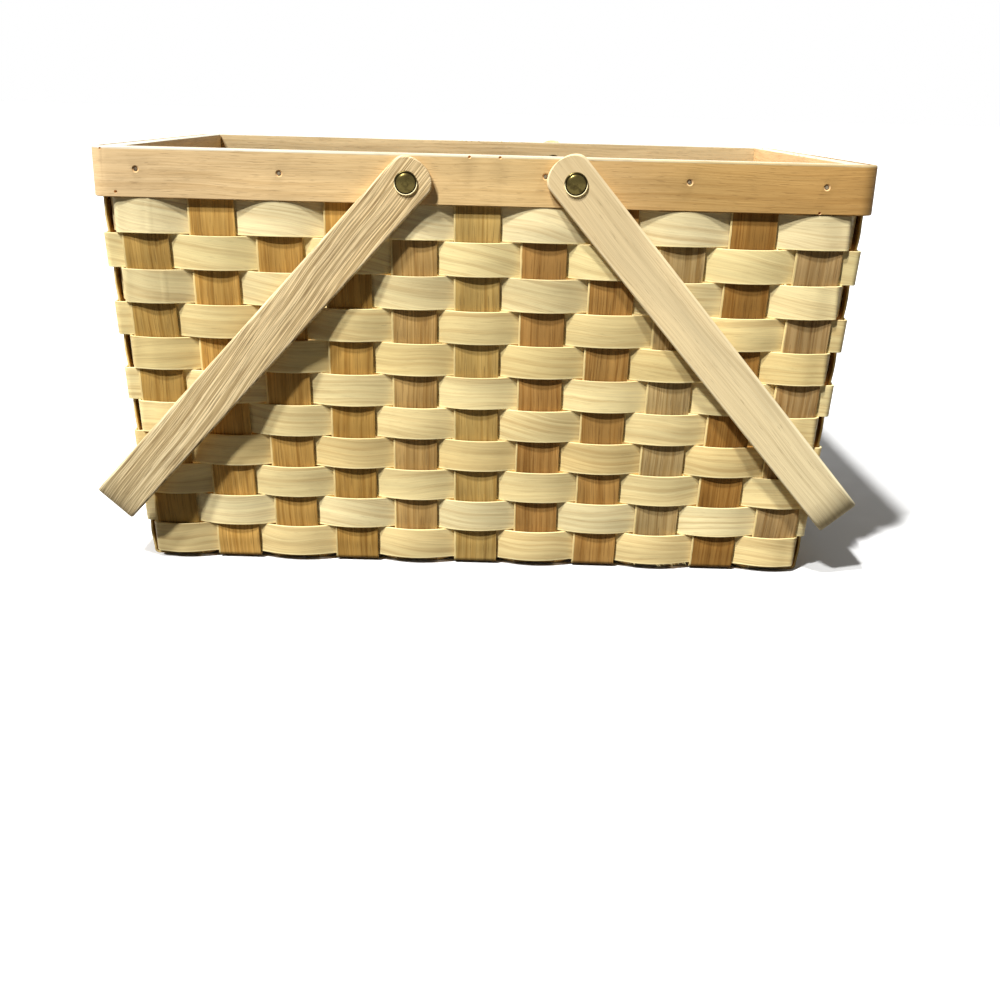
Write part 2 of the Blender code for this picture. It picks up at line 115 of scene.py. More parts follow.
END_LINE, FRONT_LINE = wall_line(0), wall_line(1)
print("strips in mm:", round(STAKE_W / MM, 2), round(WEAVER_W / MM, 2))
print("half length in mm:", [round(v / MM, 1) for v in END_LINE])
print("half depth in mm:", [round(v / MM, 1) for v in FRONT_LINE])


def end_half(z):
    return float(np.interp(z, (FOOT, FIRST_ROW_UNDER, RIM_UNDER), END_LINE))


def front_half(z):
    return float(np.interp(z, (FOOT, FIRST_ROW_UNDER, RIM_UNDER), FRONT_LINE))


def stake_ends(name, axis):
    """A stake's middle along its wall, at the foot and in the rim."""
    corners = [v.co for v in frame["nodes"][name].data.vertices]
    ends = ([c[axis] for c in corners if c.z < FOOT], [c[axis] for c in corners if c.z > RIM_TOP - MM])
    return [(min(end) + max(end)) / 2 for end in ends]


# Each row of stakes fans out from the foot to the rim, and a few lean, as in the photograph.
LONG_ENDS = [stake_ends(name, 0) for name in LONG]
CROSS_ENDS = [stake_ends(name, 1) for name in CROSS]


def long_x(index, z):
    return float(np.interp(z, (FOOT, RIM_TOP), LONG_ENDS[index]))


def long_x_from_right(index, z):
    """The same stakes counted from the right, with X reversed, as seen from behind."""
    return -long_x(len(LONG) - 1 - index, z)


def cross_y(index, z):
    return float(np.interp(z, (FOOT, RIM_TOP), CROSS_ENDS[index]))


# %% [markdown]
# ## Camera and stage
#
# The photograph was taken from a little above the rim, close by, with the camera turned a
# degree or so on its axis. The camera stands where lines from the rim, the rivets and the
# handle ends of the picture meet. The stage is a pale floor under a white sky. Two lamps far off,
# high on the left and a few degrees apart, give the handles' shadows their double edge.

# %% Camera
CAMERA_PLACE = (4.9 * MM, -731.1 * MM, RIM_TOP + 24.6 * MM)
YAW, PITCH, ROLL = (math.radians(a) for a in (-0.083, 19.294, 1.468))
SENSOR = 36.0
FOCAL_PX, FRAME_PX = 1137.8, 1000
AXIS_PX = (483.25, 502.81)     # where the lens axis meets the picture, from its top left


def new_object(name, data):
    """An object with this data, in the scene."""
    made = bpy.data.objects.new(name, data)
    scene.collection.objects.link(made)
    return made


def make_camera():
    level = math.cos(PITCH)
    forward = Vector((math.sin(YAW) * level, math.cos(YAW) * level, -math.sin(PITCH)))
    right = Vector((math.cos(YAW), -math.sin(YAW), 0))
    up = right.cross(forward)
    turned_right = right * math.cos(ROLL) + up * math.sin(ROLL)
    turned_up = up * math.cos(ROLL) - right * math.sin(ROLL)
    data = bpy.data.cameras.new("camera")
    data.sensor_width = SENSOR
    data.lens = FOCAL_PX / FRAME_PX * SENSOR
    data.shift_x = 0.5 - AXIS_PX[0] / FRAME_PX
    data.shift_y = AXIS_PX[1] / FRAME_PX - 0.5
    axes = Matrix((turned_right, turned_up, -forward)).transposed()
    scene.camera = new_object("camera", data)
    scene.camera.matrix_world = Matrix.Translation(CAMERA_PLACE) @ axes.to_4x4()
    return data.lens


print("lens in mm:", round(make_camera(), 2))

# %% [markdown]
# A node tree is a list of nodes and links. These short helpers keep the trees below readable.
# `add` makes a node and fills its inputs with numbers or with other nodes' outputs, `work` does
# a sum, and `window` fades from one number to another while a value crosses a span.

# %% Node helpers
MIX_COLOURS = (0, 6, 7)        # the Mix node's factor and its two colour inputs
MIXED_COLOUR = 2


def fill(tree, node, inputs):
    for key, value in inputs.items():
        socket = node.inputs[key]
        if isinstance(value, bpy.types.NodeSocket):
            tree.links.new(value, socket)
        else:
            socket.default_value = value


def add(tree, kind, inputs=None, **settings):
    made = tree.nodes.new(kind)
    for name, value in settings.items():
        setattr(made, name, value)
    fill(tree, made, inputs or {})
    return made


def work(tree, operation, *values, kind="ShaderNodeMath"):
    return add(tree, kind, dict(enumerate(values)), operation=operation).outputs[0]


def vector_work(tree, operation, *values):
    return work(tree, operation, *values, kind="ShaderNodeVectorMath")


def scaled(tree, vector, scale):
    inputs = {0: vector, "Scale": scale}
    return add(tree, "ShaderNodeVectorMath", inputs, operation="SCALE").outputs[0]


def blend(tree, factor, first, second, how="MIX"):
    values = dict(zip(MIX_COLOURS, (factor, first, second)))
    return add(tree, "ShaderNodeMix", values, data_type="RGBA", blend_type=how).outputs[MIXED_COLOUR]


def join(tree, x, y, z):
    return add(tree, "ShaderNodeCombineXYZ", {0: x, 1: y, 2: z}).outputs[0]


def window(tree, value, low, high, bottom=0.0, top=1.0):
    """From bottom to top while value goes from low to high, smooth between."""
    inputs = {"Value": value, "From Min": low, "From Max": high, "To Min": bottom, "To Max": top}
    return add(tree, "ShaderNodeMapRange", inputs, interpolation_type="SMOOTHSTEP").outputs[0]


def new_finish(name):
    """A material, its tree and its shader."""
    finish = bpy.data.materials.new(name)
    finish.use_nodes = True
    return finish, finish.node_tree, finish.node_tree.nodes["Principled BSDF"]


# %% Floor, sky and light
FLOOR_COLOUR = (0.88, 0.88, 0.87, 1)
FLOOR_FILL = (0.050, 0.042, 0.032, 1)   # what the floor sends back on to the object
FLOOR_SIDE = 60.0
LAMPS = {"key": ((-0.43, -0.50, 0.755), 3.25), "upper_key": ((-0.324, -0.377, 0.867), 3.65)}
LAMP_ANGLE = math.radians(3.5)
SKY_FRONT, SKY_BACK = 0.025, 0.40
SKY_TURN = 0.3                          # how far from straight sideways one fades into the other


def looked_at(tree):
    """1 for what the camera sees, straight or in a reflection, and 0 for light on its way."""
    path = add(tree, "ShaderNodeLightPath").outputs
    seen = work(tree, "MAXIMUM", path["Is Camera Ray"], path["Is Transmission Ray"])
    return work(tree, "MAXIMUM", seen, path["Is Glossy Ray"])


def make_floor():
    mesh = bpy.data.meshes.new("floor")
    half = FLOOR_SIDE / 2
    corners = [(-half, -half, 0), (half, -half, 0), (half, half, 0), (-half, half, 0)]
    mesh.from_pydata(corners, [], [(0, 1, 2, 3)])
    finish, tree, shader = new_finish("pale_floor")
    colour = blend(tree, looked_at(tree), FLOOR_FILL, FLOOR_COLOUR)
    fill(tree, shader, {"Base Color": colour, "Roughness": 0.9})
    mesh.materials.append(finish)
    new_object("floor", mesh)


def make_sky():
    """White to the camera and in reflections. For light, a soft fill, stronger from behind."""
    world = bpy.data.worlds.new("studio")
    scene.world = world
    world.use_nodes = True
    tree = world.node_tree
    towards = add(tree, "ShaderNodeTexCoord").outputs["Generated"]
    back = add(tree, "ShaderNodeSeparateXYZ", {0: towards}).outputs["Y"]
    glow = window(tree, back, -SKY_TURN, SKY_TURN, SKY_FRONT, SKY_BACK)
    strength = work(tree, "MAXIMUM", looked_at(tree), glow)
    fill(tree, tree.nodes["Background"], {"Strength": strength, "Color": (1, 1, 1, 1)})


def make_lamp(name, towards, strength):
    """A lamp far off, high on the left in front, small enough to draw the handles' shadows."""
    data = bpy.data.lights.new(name, "SUN")
    data.energy = strength
    data.angle = LAMP_ANGLE
    new_object(name, data).rotation_euler = Vector(towards).to_track_quat("Z", "Y").to_euler()


make_floor()
make_sky()
for name, (towards, strength) in LAMPS.items():
    make_lamp(name, towards, strength)
scene.view_settings.view_transform = "Standard"

# %% [markdown]
# ## Wood
#
# Wood has a direction, so its pattern can't come from plain object coordinates: it has to run
# along each strip and turn the corners with it. Every strip below carries two measures in
# metres, `run` along it and `cross` over its width, a number of its own, `strip`, that moves the
# pattern, a `tint`, and in a weaver `slant`, how far its grain leaves its direction. The finish
# reads these five.
#
# Growth rings are cut at a low angle in veneer, so they show as lines that darken slowly and
# then stop at once, and they wander over the strip. Finer noise on top makes streaks, and a
# threshold on the finest makes the dark dashes of the pores. Along a strip's raw edges, where
# the knife went, the wood is paler.

# %% Wood finish
CUT_WIDTH = 0.5 * MM           # of the paler line along a strip's raw edge
CUT_SHARE = 0.8
STRIP_SHIFT = 7.31             # moves the pattern from one strip to the next
# The first strip number of each kind of piece, so that no two pieces share a pattern.
STRIPS = {"long": 1.0, "cross": 21.0, "weaver": 51.0, "band": 71.0, "rail": 75.0, "handle": 81.0,
          "hole": 90.0, "fibre": 95.0}
RING_RISE, RING_FALL = (0.35, 0.92), (0.93, 1.0)   # where a growth line darkens, and where it stops
MIDDLE = (0.3, 0.7)            # the span in which most of a noise's values lie
LEVEL = (0.92, 1.08)           # darker and lighter with the finest noise
DASH_FADE = 0.07
ROUGHNESS_SWING = 0.07
RELIEF, PORE_DEPTH, BUMP = 0.12 * MM, 0.8, 0.6


def read(tree, name, output="Fac"):
    return add(tree, "ShaderNodeAttribute", attribute_name=name).outputs[output]


def noise(tree, vector, detail=2.0, rough=0.5):
    inputs = {"Vector": vector, "Scale": 1.0, "Detail": detail, "Roughness": rough}
    return add(tree, "ShaderNodeTexNoise", inputs).outputs["Fac"]


def wood(name, pale, line, dark, rings_per_m, wander, warp=5.0, slant=0.0, line_share=0.5,
         line_mask=(0.36, 0.62), streaks_per_m=(14, 1300), streak_edges=(0.40, 0.72), streak_share=0.4,
         dashes_per_m=(110, 3600), dash_share=0.4, dash_edge=0.66, cloud=0.10, roughness=0.5, gloss=0.06,
         cut=None, half=1.0):
    """Wood in three tones: the pale ground, the growth lines and the dark pores.

    A strip has a fourth, cut, for its raw edges, which lie half a width from its middle.
    """
    finish, tree, shader = new_finish(name)
    run, cross, strip, lean = (read(tree, label) for label in ("run", "cross", "strip", "slant"))
    shift = work(tree, "MULTIPLY", strip, STRIP_SHIFT)

    def field(over, per_m_along, per_m_over, detail=2.0, rough=0.5):
        """Noise with so many cells per metre along the strip and over it."""
        u, v = work(tree, "MULTIPLY", run, per_m_along), work(tree, "MULTIPLY", over, per_m_over)
        return noise(tree, join(tree, u, v, shift), detail, rough)

    grain = work(tree, "MULTIPLY_ADD", run, work(tree, "ADD", lean, slant), cross)
    drift = window(tree, field(cross, 9, 14), 0.25, 0.75, -1.0, 1.0)
    grain = work(tree, "MULTIPLY_ADD", drift, wander, grain)
    warped = work(tree, "MULTIPLY", field(grain, 1.5, 70), warp)
    ring = work(tree, "FRACT", work(tree, "MULTIPLY_ADD", grain, rings_per_m, warped))
    stop = window(tree, ring, *RING_FALL, 1.0, 0.0)
    lines = work(tree, "MULTIPLY", window(tree, ring, *RING_RISE), stop)
    lines = work(tree, "MULTIPLY", lines, window(tree, field(cross, 7, 90), *line_mask, 0.15, 1.0))
    streaks = field(grain, *streaks_per_m, 3.0, 0.65)
    fine = field(grain, 40, 5200, 2.0, 0.6)
    dashes = window(tree, field(grain, *dashes_per_m, 1.0), dash_edge, dash_edge + DASH_FADE)
    clouds = window(tree, field(cross, 9, 60), *MIDDLE, 1 - cloud, 1 + cloud)
    colour = blend(tree, work(tree, "MULTIPLY", lines, line_share), (*pale, 1), (*line, 1))
    colour = blend(tree, window(tree, streaks, *streak_edges, 0.0, streak_share), colour, (*line, 1))
    colour = blend(tree, work(tree, "MULTIPLY", dashes, dash_share), colour, (*dark, 1))
    colour = vector_work(tree, "MULTIPLY", colour, read(tree, "tint", "Vector"))
    if cut:
        away = work(tree, "ABSOLUTE", cross)
        ragged = work(tree, "MULTIPLY_ADD", field(cross, 220, 30), CUT_WIDTH, away)
        raw = window(tree, ragged, half - CUT_WIDTH / 2, half)
        colour = blend(tree, work(tree, "MULTIPLY", raw, CUT_SHARE), colour, (*cut, 1))
    level = work(tree, "MULTIPLY", clouds, window(tree, fine, *MIDDLE, *LEVEL))
    swing = (roughness - ROUGHNESS_SWING, roughness + ROUGHNESS_SWING)
    height = work(tree, "ADD", fine, streaks)
    height = work(tree, "SUBTRACT", height, work(tree, "MULTIPLY", dashes, PORE_DEPTH))
    bump = add(tree, "ShaderNodeBump", {"Height": height, "Distance": RELIEF, "Strength": BUMP})
    fill(tree, shader, {"Base Color": scaled(tree, colour, level), "Normal": bump.outputs["Normal"],
                        "Roughness": window(tree, fine, *MIDDLE, *swing), "Specular IOR Level": gloss})
    return finish


WEAVER_WOOD = wood("weaver_wood", (0.845, 0.69, 0.345), (0.60, 0.42, 0.18), (0.36, 0.22, 0.09),
                   rings_per_m=260, wander=4.5 * MM, line_share=0.75, line_mask=(0.44, 0.72),
                   streaks_per_m=(9, 420), streak_share=0.62, dash_share=0.2, cloud=0.13, roughness=0.42,
                   gloss=0.10, cut=(0.97, 0.82, 0.42), half=WEAVER_W / 2)
STAKE_WOOD = wood("stake_wood", (0.575, 0.345, 0.10), (0.33, 0.165, 0.035), (0.17, 0.08, 0.025),
                  rings_per_m=260, warp=8.0, wander=1.6 * MM, line_share=0.6, streaks_per_m=(10, 420),
                  streak_share=0.85, dashes_per_m=(60, 2000), dash_edge=0.60, cloud=0.18, roughness=0.55,
                  cut=(0.93, 0.74, 0.34), half=STAKE_W / 2)
RIM_WOOD = wood("rim_wood", (0.765, 0.515, 0.257), (0.49, 0.285, 0.11), (0.27, 0.14, 0.06),
                rings_per_m=210, wander=1.4 * MM, line_share=0.4, line_mask=(0.44, 0.70),
                streaks_per_m=(24, 1500), streak_share=0.5, dash_share=0.5, dash_edge=0.65, cloud=0.12)
HANDLE_WOODS = {
    "left": wood("left_handle_wood", (0.86, 0.68, 0.40), (0.42, 0.29, 0.135), (0.20, 0.12, 0.05),
                 rings_per_m=430, warp=4.0, wander=1.5 * MM, slant=0.10, line_share=0.45,
                 streaks_per_m=(8, 1300), streak_edges=(0.42, 0.60), streak_share=0.95,
                 dashes_per_m=(50, 2400), dash_share=0.6, dash_edge=0.57, roughness=0.6),
    "right": wood("right_handle_wood", (0.62, 0.475, 0.245), (0.40, 0.275, 0.12), (0.20, 0.12, 0.05),
                  rings_per_m=330, warp=4.0, wander=1.5 * MM, line_share=0.30, streaks_per_m=(5, 900),
                  streak_share=0.35, dashes_per_m=(90, 2200), dash_share=0.35, dash_edge=0.68,
                  roughness=0.55)}
print("wood finishes:", [m.name for m in (WEAVER_WOOD, STAKE_WOOD, RIM_WOOD, *HANDLE_WOODS.values())])

# %% [markdown]
# ## A strip of veneer, by Geometry Nodes
#
# Every strip in the basket is the same thing, a flat ribbon that follows a guide line. So one
# tree makes them all. Its input is a chain of points that carries `face`, the way the ribbon
# looks, and `lift`, how far it bulges there from -1 to 1. The tree pushes the points out by
# the belly, sweeps a thin rectangle with broken edges along them and gives it the finish. The
# measure across the strip is stored on the rectangle, so it reaches the wood.

# %% Strip tree
SEED_SHIFT = 9.7               # moves the unevenness from one strip to the next
SEEDS = {"long": 0, "cross": 40, "weaver": 80}


def named(tree, name, kind="FLOAT"):
    return add(tree, "GeometryNodeInputNamedAttribute", {"Name": name}, data_type=kind).outputs[0]


def new_tree(name, **sockets):
    """A tree from geometry to geometry, with these inputs, a seed and a finish."""
    tree = bpy.data.node_groups.new(name, "GeometryNodeTree")
    tree.interface.new_socket("Geometry", in_out="OUTPUT", socket_type="NodeSocketGeometry")
    sockets = {"Geometry": "Geometry", **sockets, "Seed": "Int", "Finish": "Material"}
    for label, kind in sockets.items():
        tree.interface.new_socket(label, in_out="INPUT", socket_type="NodeSocket" + kind)
    return tree, add(tree, "NodeGroupInput").outputs


def close_tree(tree, geometry, finish):
    """Every tree ends in real geometry with its material on it."""
    real = add(tree, "GeometryNodeRealizeInstances", {0: geometry}).outputs[0]
    dressed = add(tree, "GeometryNodeSetMaterial", {0: real, "Material": finish}).outputs[0]
    add(tree, "NodeGroupOutput", {0: dressed})
    return tree


def strip_tree():
    numbers = ("Width", "Thickness", "Edge", "Belly", "Unevenness", "Wander")
    tree, given = new_tree("veneer_strip", **dict.fromkeys(numbers, "Float"))
    face, run = named(tree, "face", "FLOAT_VECTOR"), named(tree, "run")
    curve = add(tree, "GeometryNodeMeshToCurve", {0: given["Geometry"]}).outputs[0]

    def drift(per_metre, offset):
        """Smooth random number around zero along the strip."""
        start = work(tree, "MULTIPLY_ADD", given["Seed"], SEED_SHIFT, offset)
        inputs = {"W": work(tree, "MULTIPLY_ADD", run, per_metre, start), "Scale": 1.0, "Detail": 1.0}
        value = add(tree, "ShaderNodeTexNoise", inputs, noise_dimensions="1D").outputs["Fac"]
        return work(tree, "MULTIPLY", work(tree, "SUBTRACT", value, 0.5), 2.0)

    uneven = work(tree, "MULTIPLY_ADD", drift(26, 0.0), given["Unevenness"], 1.0)
    height = work(tree, "MULTIPLY", work(tree, "MULTIPLY", named(tree, "lift"), given["Belly"]), uneven)
    side = vector_work(tree, "CROSS_PRODUCT", face, add(tree, "GeometryNodeInputTangent").outputs[0])
    sway = work(tree, "MULTIPLY", drift(17, 5.0), given["Wander"])
    move = vector_work(tree, "ADD", scaled(tree, face, height), scaled(tree, side, sway))
    bent = add(tree, "GeometryNodeSetPosition", {0: curve, "Offset": move}).outputs[0]
    facing = add(tree, "GeometryNodeSetCurveNormal", {0: bent, "Normal": face}, mode="FREE").outputs[0]
    section = add(tree, "GeometryNodeCurvePrimitiveQuadrilateral",
                  {"Width": given["Thickness"], "Height": given["Width"]}).outputs[0]
    rounding = {0: section, "Count": 1, "Radius": given["Edge"], "Limit Radius": True}
    section = add(tree, "GeometryNodeFilletCurve", rounding, mode="POLY").outputs[0]
    place = add(tree, "GeometryNodeInputPosition").outputs[0]
    axes = add(tree, "ShaderNodeSeparateXYZ", {0: place}).outputs
    over = work(tree, "ADD", axes["Y"], axes["X"])
    section = add(tree, "GeometryNodeStoreNamedAttribute", {0: section, "Name": "cross", "Value": over},
                  data_type="FLOAT", domain="POINT").outputs[0]
    ribbon = add(tree, "GeometryNodeCurveToMesh", {0: facing, 1: section, "Fill Caps": True}).outputs[0]
    return close_tree(tree, ribbon, given["Finish"])


STRIP = strip_tree()

# %% [markdown]
# A guide is a mesh of points and edges with no faces. After the tree has run, the result is
# copied into a plain mesh, because a finished piece shouldn't depend on its recipe.

# %% Guides and growing
SHARP = math.radians(30)


def make_guide(points, closed=False, **attributes):
    """Mesh chain; each attribute is one value, or one for every point."""
    mesh = bpy.data.meshes.new("guide")
    count = len(points)
    edges = [(k, (k + 1) % count) for k in range(count if closed else count - 1)]
    mesh.from_pydata([tuple(p) for p in points], edges, [])
    for name, values in attributes.items():
        values = np.asarray(values, np.float32)
        vector = values.shape[-1:] == (3,)
        full = np.broadcast_to(values, (count, 3) if vector else (count,))
        layer = mesh.attributes.new(name, "FLOAT_VECTOR" if vector else "FLOAT", "POINT")
        layer.data.foreach_set("vector" if vector else "value", np.ascontiguousarray(full).ravel())
    return mesh


def keep_result(obj):
    """Take what the modifiers made as the object's own mesh, and drop them."""
    graph = bpy.context.evaluated_depsgraph_get()
    result = bpy.data.meshes.new_from_object(obj.evaluated_get(graph), preserve_all_data_layers=True,
                                             depsgraph=graph)
    before = obj.data
    obj.modifiers.clear()
    obj.data = result
    bpy.data.meshes.remove(before)
    result.name = obj.name
    result.shade_smooth()
    result.set_sharp_from_angle(angle=SHARP)


def grow(name, mesh, tree, **settings):
    """Run a tree on a guide and keep the result as a plain mesh object."""
    obj = new_object(name, mesh)
    modifier = obj.modifiers.new("grow", "NODES")
    modifier.node_group = tree
    for item in tree.interface.items_tree:
        if item.in_out == "INPUT" and item.name in settings:
            modifier[item.identifier] = settings[item.name]
    keep_result(obj)
    return obj


def run_along(points):
    """Distance of each point along the chain."""
    p = np.array([tuple(v) for v in points])
    return np.concatenate(([0.0], np.cumsum(np.linalg.norm(np.diff(p, axis=0), axis=1))))


# %% [markdown]
# ## Stakes
#
# A stake starts in the rim, runs down a wall, turns into the base and climbs the other wall.
# The weavers press on it from alternate sides, so it isn't straight: it sways in and out by
# half a millimetre, a row at a time. In the base the cross stakes pass over and under the long
# ones. The guides below write these rules down, and the strip tree does the rest. Each stake
# came from its own sheet of veneer, so each has its own tint.

# %% Stake guides
STAKE_DROP = 0.6 * MM
BEND_R = 2.2 * MM
BASE_MID = STAKE_T + GAP + STAKE_T / 2
BASE_OFFSET = STAKE_T + GAP
STEP = 1.6 * MM
SWAY = 0.45 * MM
BEND_STEPS = 6


def sway_at(z, parity):
    """In where a weaver passes outside, out where it passes inside, still inside the rim."""
    top_middle = (ROWS[0][0] + ROWS[0][1]) / 2
    rows_down = (top_middle - z) / ROW_PITCH
    marks = (FOOT, FOOT + ROW_PITCH / 2, RIM_UNDER - ROW_PITCH / 2, RIM_UNDER)
    fade = np.interp(z, marks, (0, 1, 1, 0))
    return float((-1 if parity == 0 else 1) * math.cos(math.pi * rows_down) * fade)


def arm(half_at, exit_z, parity):
    """Upper half of a stake as (across, z, face across, face z, lift), from the rim to the base."""
    rows = []
    top, turn_z = RIM_TOP - STAKE_DROP, max(FOOT, exit_z + BEND_R)
    for z in np.linspace(top, turn_z, int((top - turn_z) / STEP)):
        rows.append((half_at(z), z, 1, 0, sway_at(z, parity)))
    foot_half = half_at(FOOT)
    for a in np.linspace(0, math.pi / 2, BEND_STEPS + 1):
        z = exit_z + BEND_R * (1 - math.sin(a))
        if z < turn_z - GAP / 10:
            rows.append((foot_half - BEND_R * (1 - math.cos(a)), z, math.cos(a), -math.sin(a), 0))
    return rows


def stake_guide(half_at, place_at, exit_z, parity, base, across_y, strip, tint):
    """Both arms and the base between them, as one chain from the lower side to the upper side."""
    first = arm(half_at, exit_z, parity)
    rows = [(-a, z, -fa, fz, lift) for a, z, fa, fz, lift in first]
    rows += [(a, z, 0, -1, 0) for a, z in base]
    rows += reversed(first)
    points, faces, lifts = [], [], []
    for a, z, face_a, face_z, lift in rows:
        s = place_at(z)
        points.append((s, a, z) if across_y else (a, s, z))
        faces.append((0, face_a, face_z) if across_y else (face_a, 0, face_z))
        lifts.append(lift)
    return make_guide(points, face=faces, lift=lifts, run=run_along(points), strip=strip, tint=tint)


def level_at(index, x):
    """Height of a cross stake in the base: level over or under each long stake, easing between."""
    centres = [long_x(k, FOOT) for k in range(len(LONG))]
    signs = [1 if (index + k) % 2 else -1 for k in range(len(LONG))]
    reach = STAKE_W / 2 + GAP
    knots, values = [], []
    for centre, sign in zip(centres, signs):
        knots += [centre - reach, centre + reach]
        values += [sign, sign]
    t = np.interp(x, knots, values)
    return BASE_MID + BASE_OFFSET * float(t * (1.5 - 0.5 * t * t))


# %% Stake tints
# Shares of the stake wood's colour for the eleven long stakes, left to right, and the seven
# cross stakes, front to back: honey on the left, browner and greyer to the right.
LONG_TINT_SHARES = [(0.99, 1.03, 1.02), (1.17, 1.16, 1.10), (1.04, 1.01, 0.94), (0.98, 0.95, 0.85),
                    (0.90, 0.95, 1.18), (0.98, 1.08, 1.18), (0.80, 0.72, 0.73), (0.76, 0.70, 0.70),
                    (0.85, 1.00, 1.50), (0.62, 0.53, 0.45), (0.77, 0.85, 1.25)]
CROSS_TINT_SHARES = [(0.90, 0.85, 0.85), (1.05, 1.02, 0.90), (0.95, 0.95, 1.05), (1.10, 1.05, 0.90),
                     (0.88, 0.84, 0.82), (1.02, 1.04, 1.08), (1.06, 1.00, 0.88)]
STAKE_STRIP = {"Width": STAKE_W, "Thickness": STAKE_T, "Edge": 0.15 * MM, "Belly": SWAY,
               "Unevenness": 0.5, "Wander": 0.25 * MM, "Finish": STAKE_WOOD}

# %% Long stakes
def settle(obj, body, slot, *nodes):
    """Tie a finished piece to its body and hide the nodes that it stands for. slot is not used."""
    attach(obj, body)
    if nodes:
        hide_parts(*nodes)


def make_long_stake(index):
    half = front_half(FOOT) - BEND_R
    base = [(y, BASE_MID) for y in np.linspace(-half, half, int(2 * half / (4 * STEP)))[1:-1]]
    guide = stake_guide(front_half, lambda z: long_x(index, z), BASE_MID, index % 2, base, True,
                        STRIPS["long"] + index, LONG_TINT_SHARES[index])
    seed = SEEDS["long"] + index
    obj = grow(f"stake_strip_long_{index + 1:02d}", guide, STRIP, Seed=seed, **STAKE_STRIP)
    settle(obj, "basket", "stake_wood", LONG[index])
    return obj


stakes = [make_long_stake(index) for index in range(len(LONG))]

# %% Cross stakes
def make_cross_stake(index):
    half = end_half(FOOT) - BEND_R
    base = [(x, level_at(index, x)) for x in np.linspace(-half, half, int(2 * half / STEP))[1:-1]]
    guide = stake_guide(end_half, lambda z: cross_y(index, z), base[0][1], (index + 1) % 2, base, False,
                        STRIPS["cross"] + index, CROSS_TINT_SHARES[index])
    seed = SEEDS["cross"] + index
    obj = grow(f"stake_strip_cross_{index + 1}", guide, STRIP, Seed=seed, **STAKE_STRIP)
    settle(obj, "basket", "stake_wood", CROSS[index])
    return obj


stakes += [make_cross_stake(index) for index in range(len(CROSS))]
print("stakes:", len(stakes), "faces:", sum(len(o.data.polygons) for o in stakes))

# %% [markdown]
# ## Weavers
#
# A weaver goes round the basket as a hoop, outside one stake and inside the next. Between two
# stakes it swings over like a wave, and over a stake it bows out, because veneer doesn't like
# to bend sharply. There are 36 stakes, an even number, so each hoop meets itself in step, and
# the next row starts on the other foot. At a corner the strip turns with a small radius.

# %% Weaver guides
BELLY = WEAVE_OFFSET + BOW           # the weaver's middle line over the middle of a stake
EDGE_LIFT = WEAVE_OFFSET / BELLY     # lift where the strip only clears a stake's edge
TUCK_SHARE = 0.72                    # of the last long stake's margin: how far a strip behind an
                                     # end wall's stakes draws in before it turns the corner
TURN_R = 3.0 * MM
TURN_STEPS = 8
WEAVER_STEP = 1.3 * MM
PLUMP = 0.10                         # 0 gives a plain wave, 0.5 one with flat tops
CREASES = {0: -173.8 * MM, 2: -168.4 * MM}   # rows that were once folded in front, and where
CREASE_LIFT = 0.10
JOINT_LIFT = -0.9                    # the ends of a weaver meet where it is tucked in, at the back


def wave(distance, pitch):
    """1 at a stake's middle, -1 at the next one's, clearing both stakes' edges."""
    c = math.cos(math.pi * distance / pitch)
    return c * (1 + PLUMP * (1 - c * c))


def shoulder(distance, last, room):
    """Beyond the last stake the strip eases from its belly to the corner's level, last."""
    edge = STAKE_W / 2 + GAP
    t = min(1.0, distance / edge)
    level = 1 + (EDGE_LIFT - 1) * t * t * (3 - 2 * t)
    t = min(1.0, max(0.0, distance - edge / 2) / (room - edge / 2))
    return level + (last - EDGE_LIFT) * t * t * (3 - 2 * t)


def lift_at(t, centres, signs, last, room):
    k = int(np.searchsorted(centres, t))
    if k == 0:
        return signs[0] * shoulder(centres[0] - t, last[0], room)
    if k == len(centres):
        return signs[-1] * shoulder(t - centres[-1], last[1], room)
    return signs[k - 1] * wave(t - centres[k - 1], centres[k] - centres[k - 1])


SIDES = [(Vector((1, 0)), long_x, len(LONG), end_half, front_half),
         (Vector((0, 1)), cross_y, len(CROSS), front_half, end_half),
         (Vector((-1, 0)), long_x_from_right, len(LONG), end_half, front_half),
         (Vector((0, -1)), cross_y, len(CROSS), front_half, end_half)]


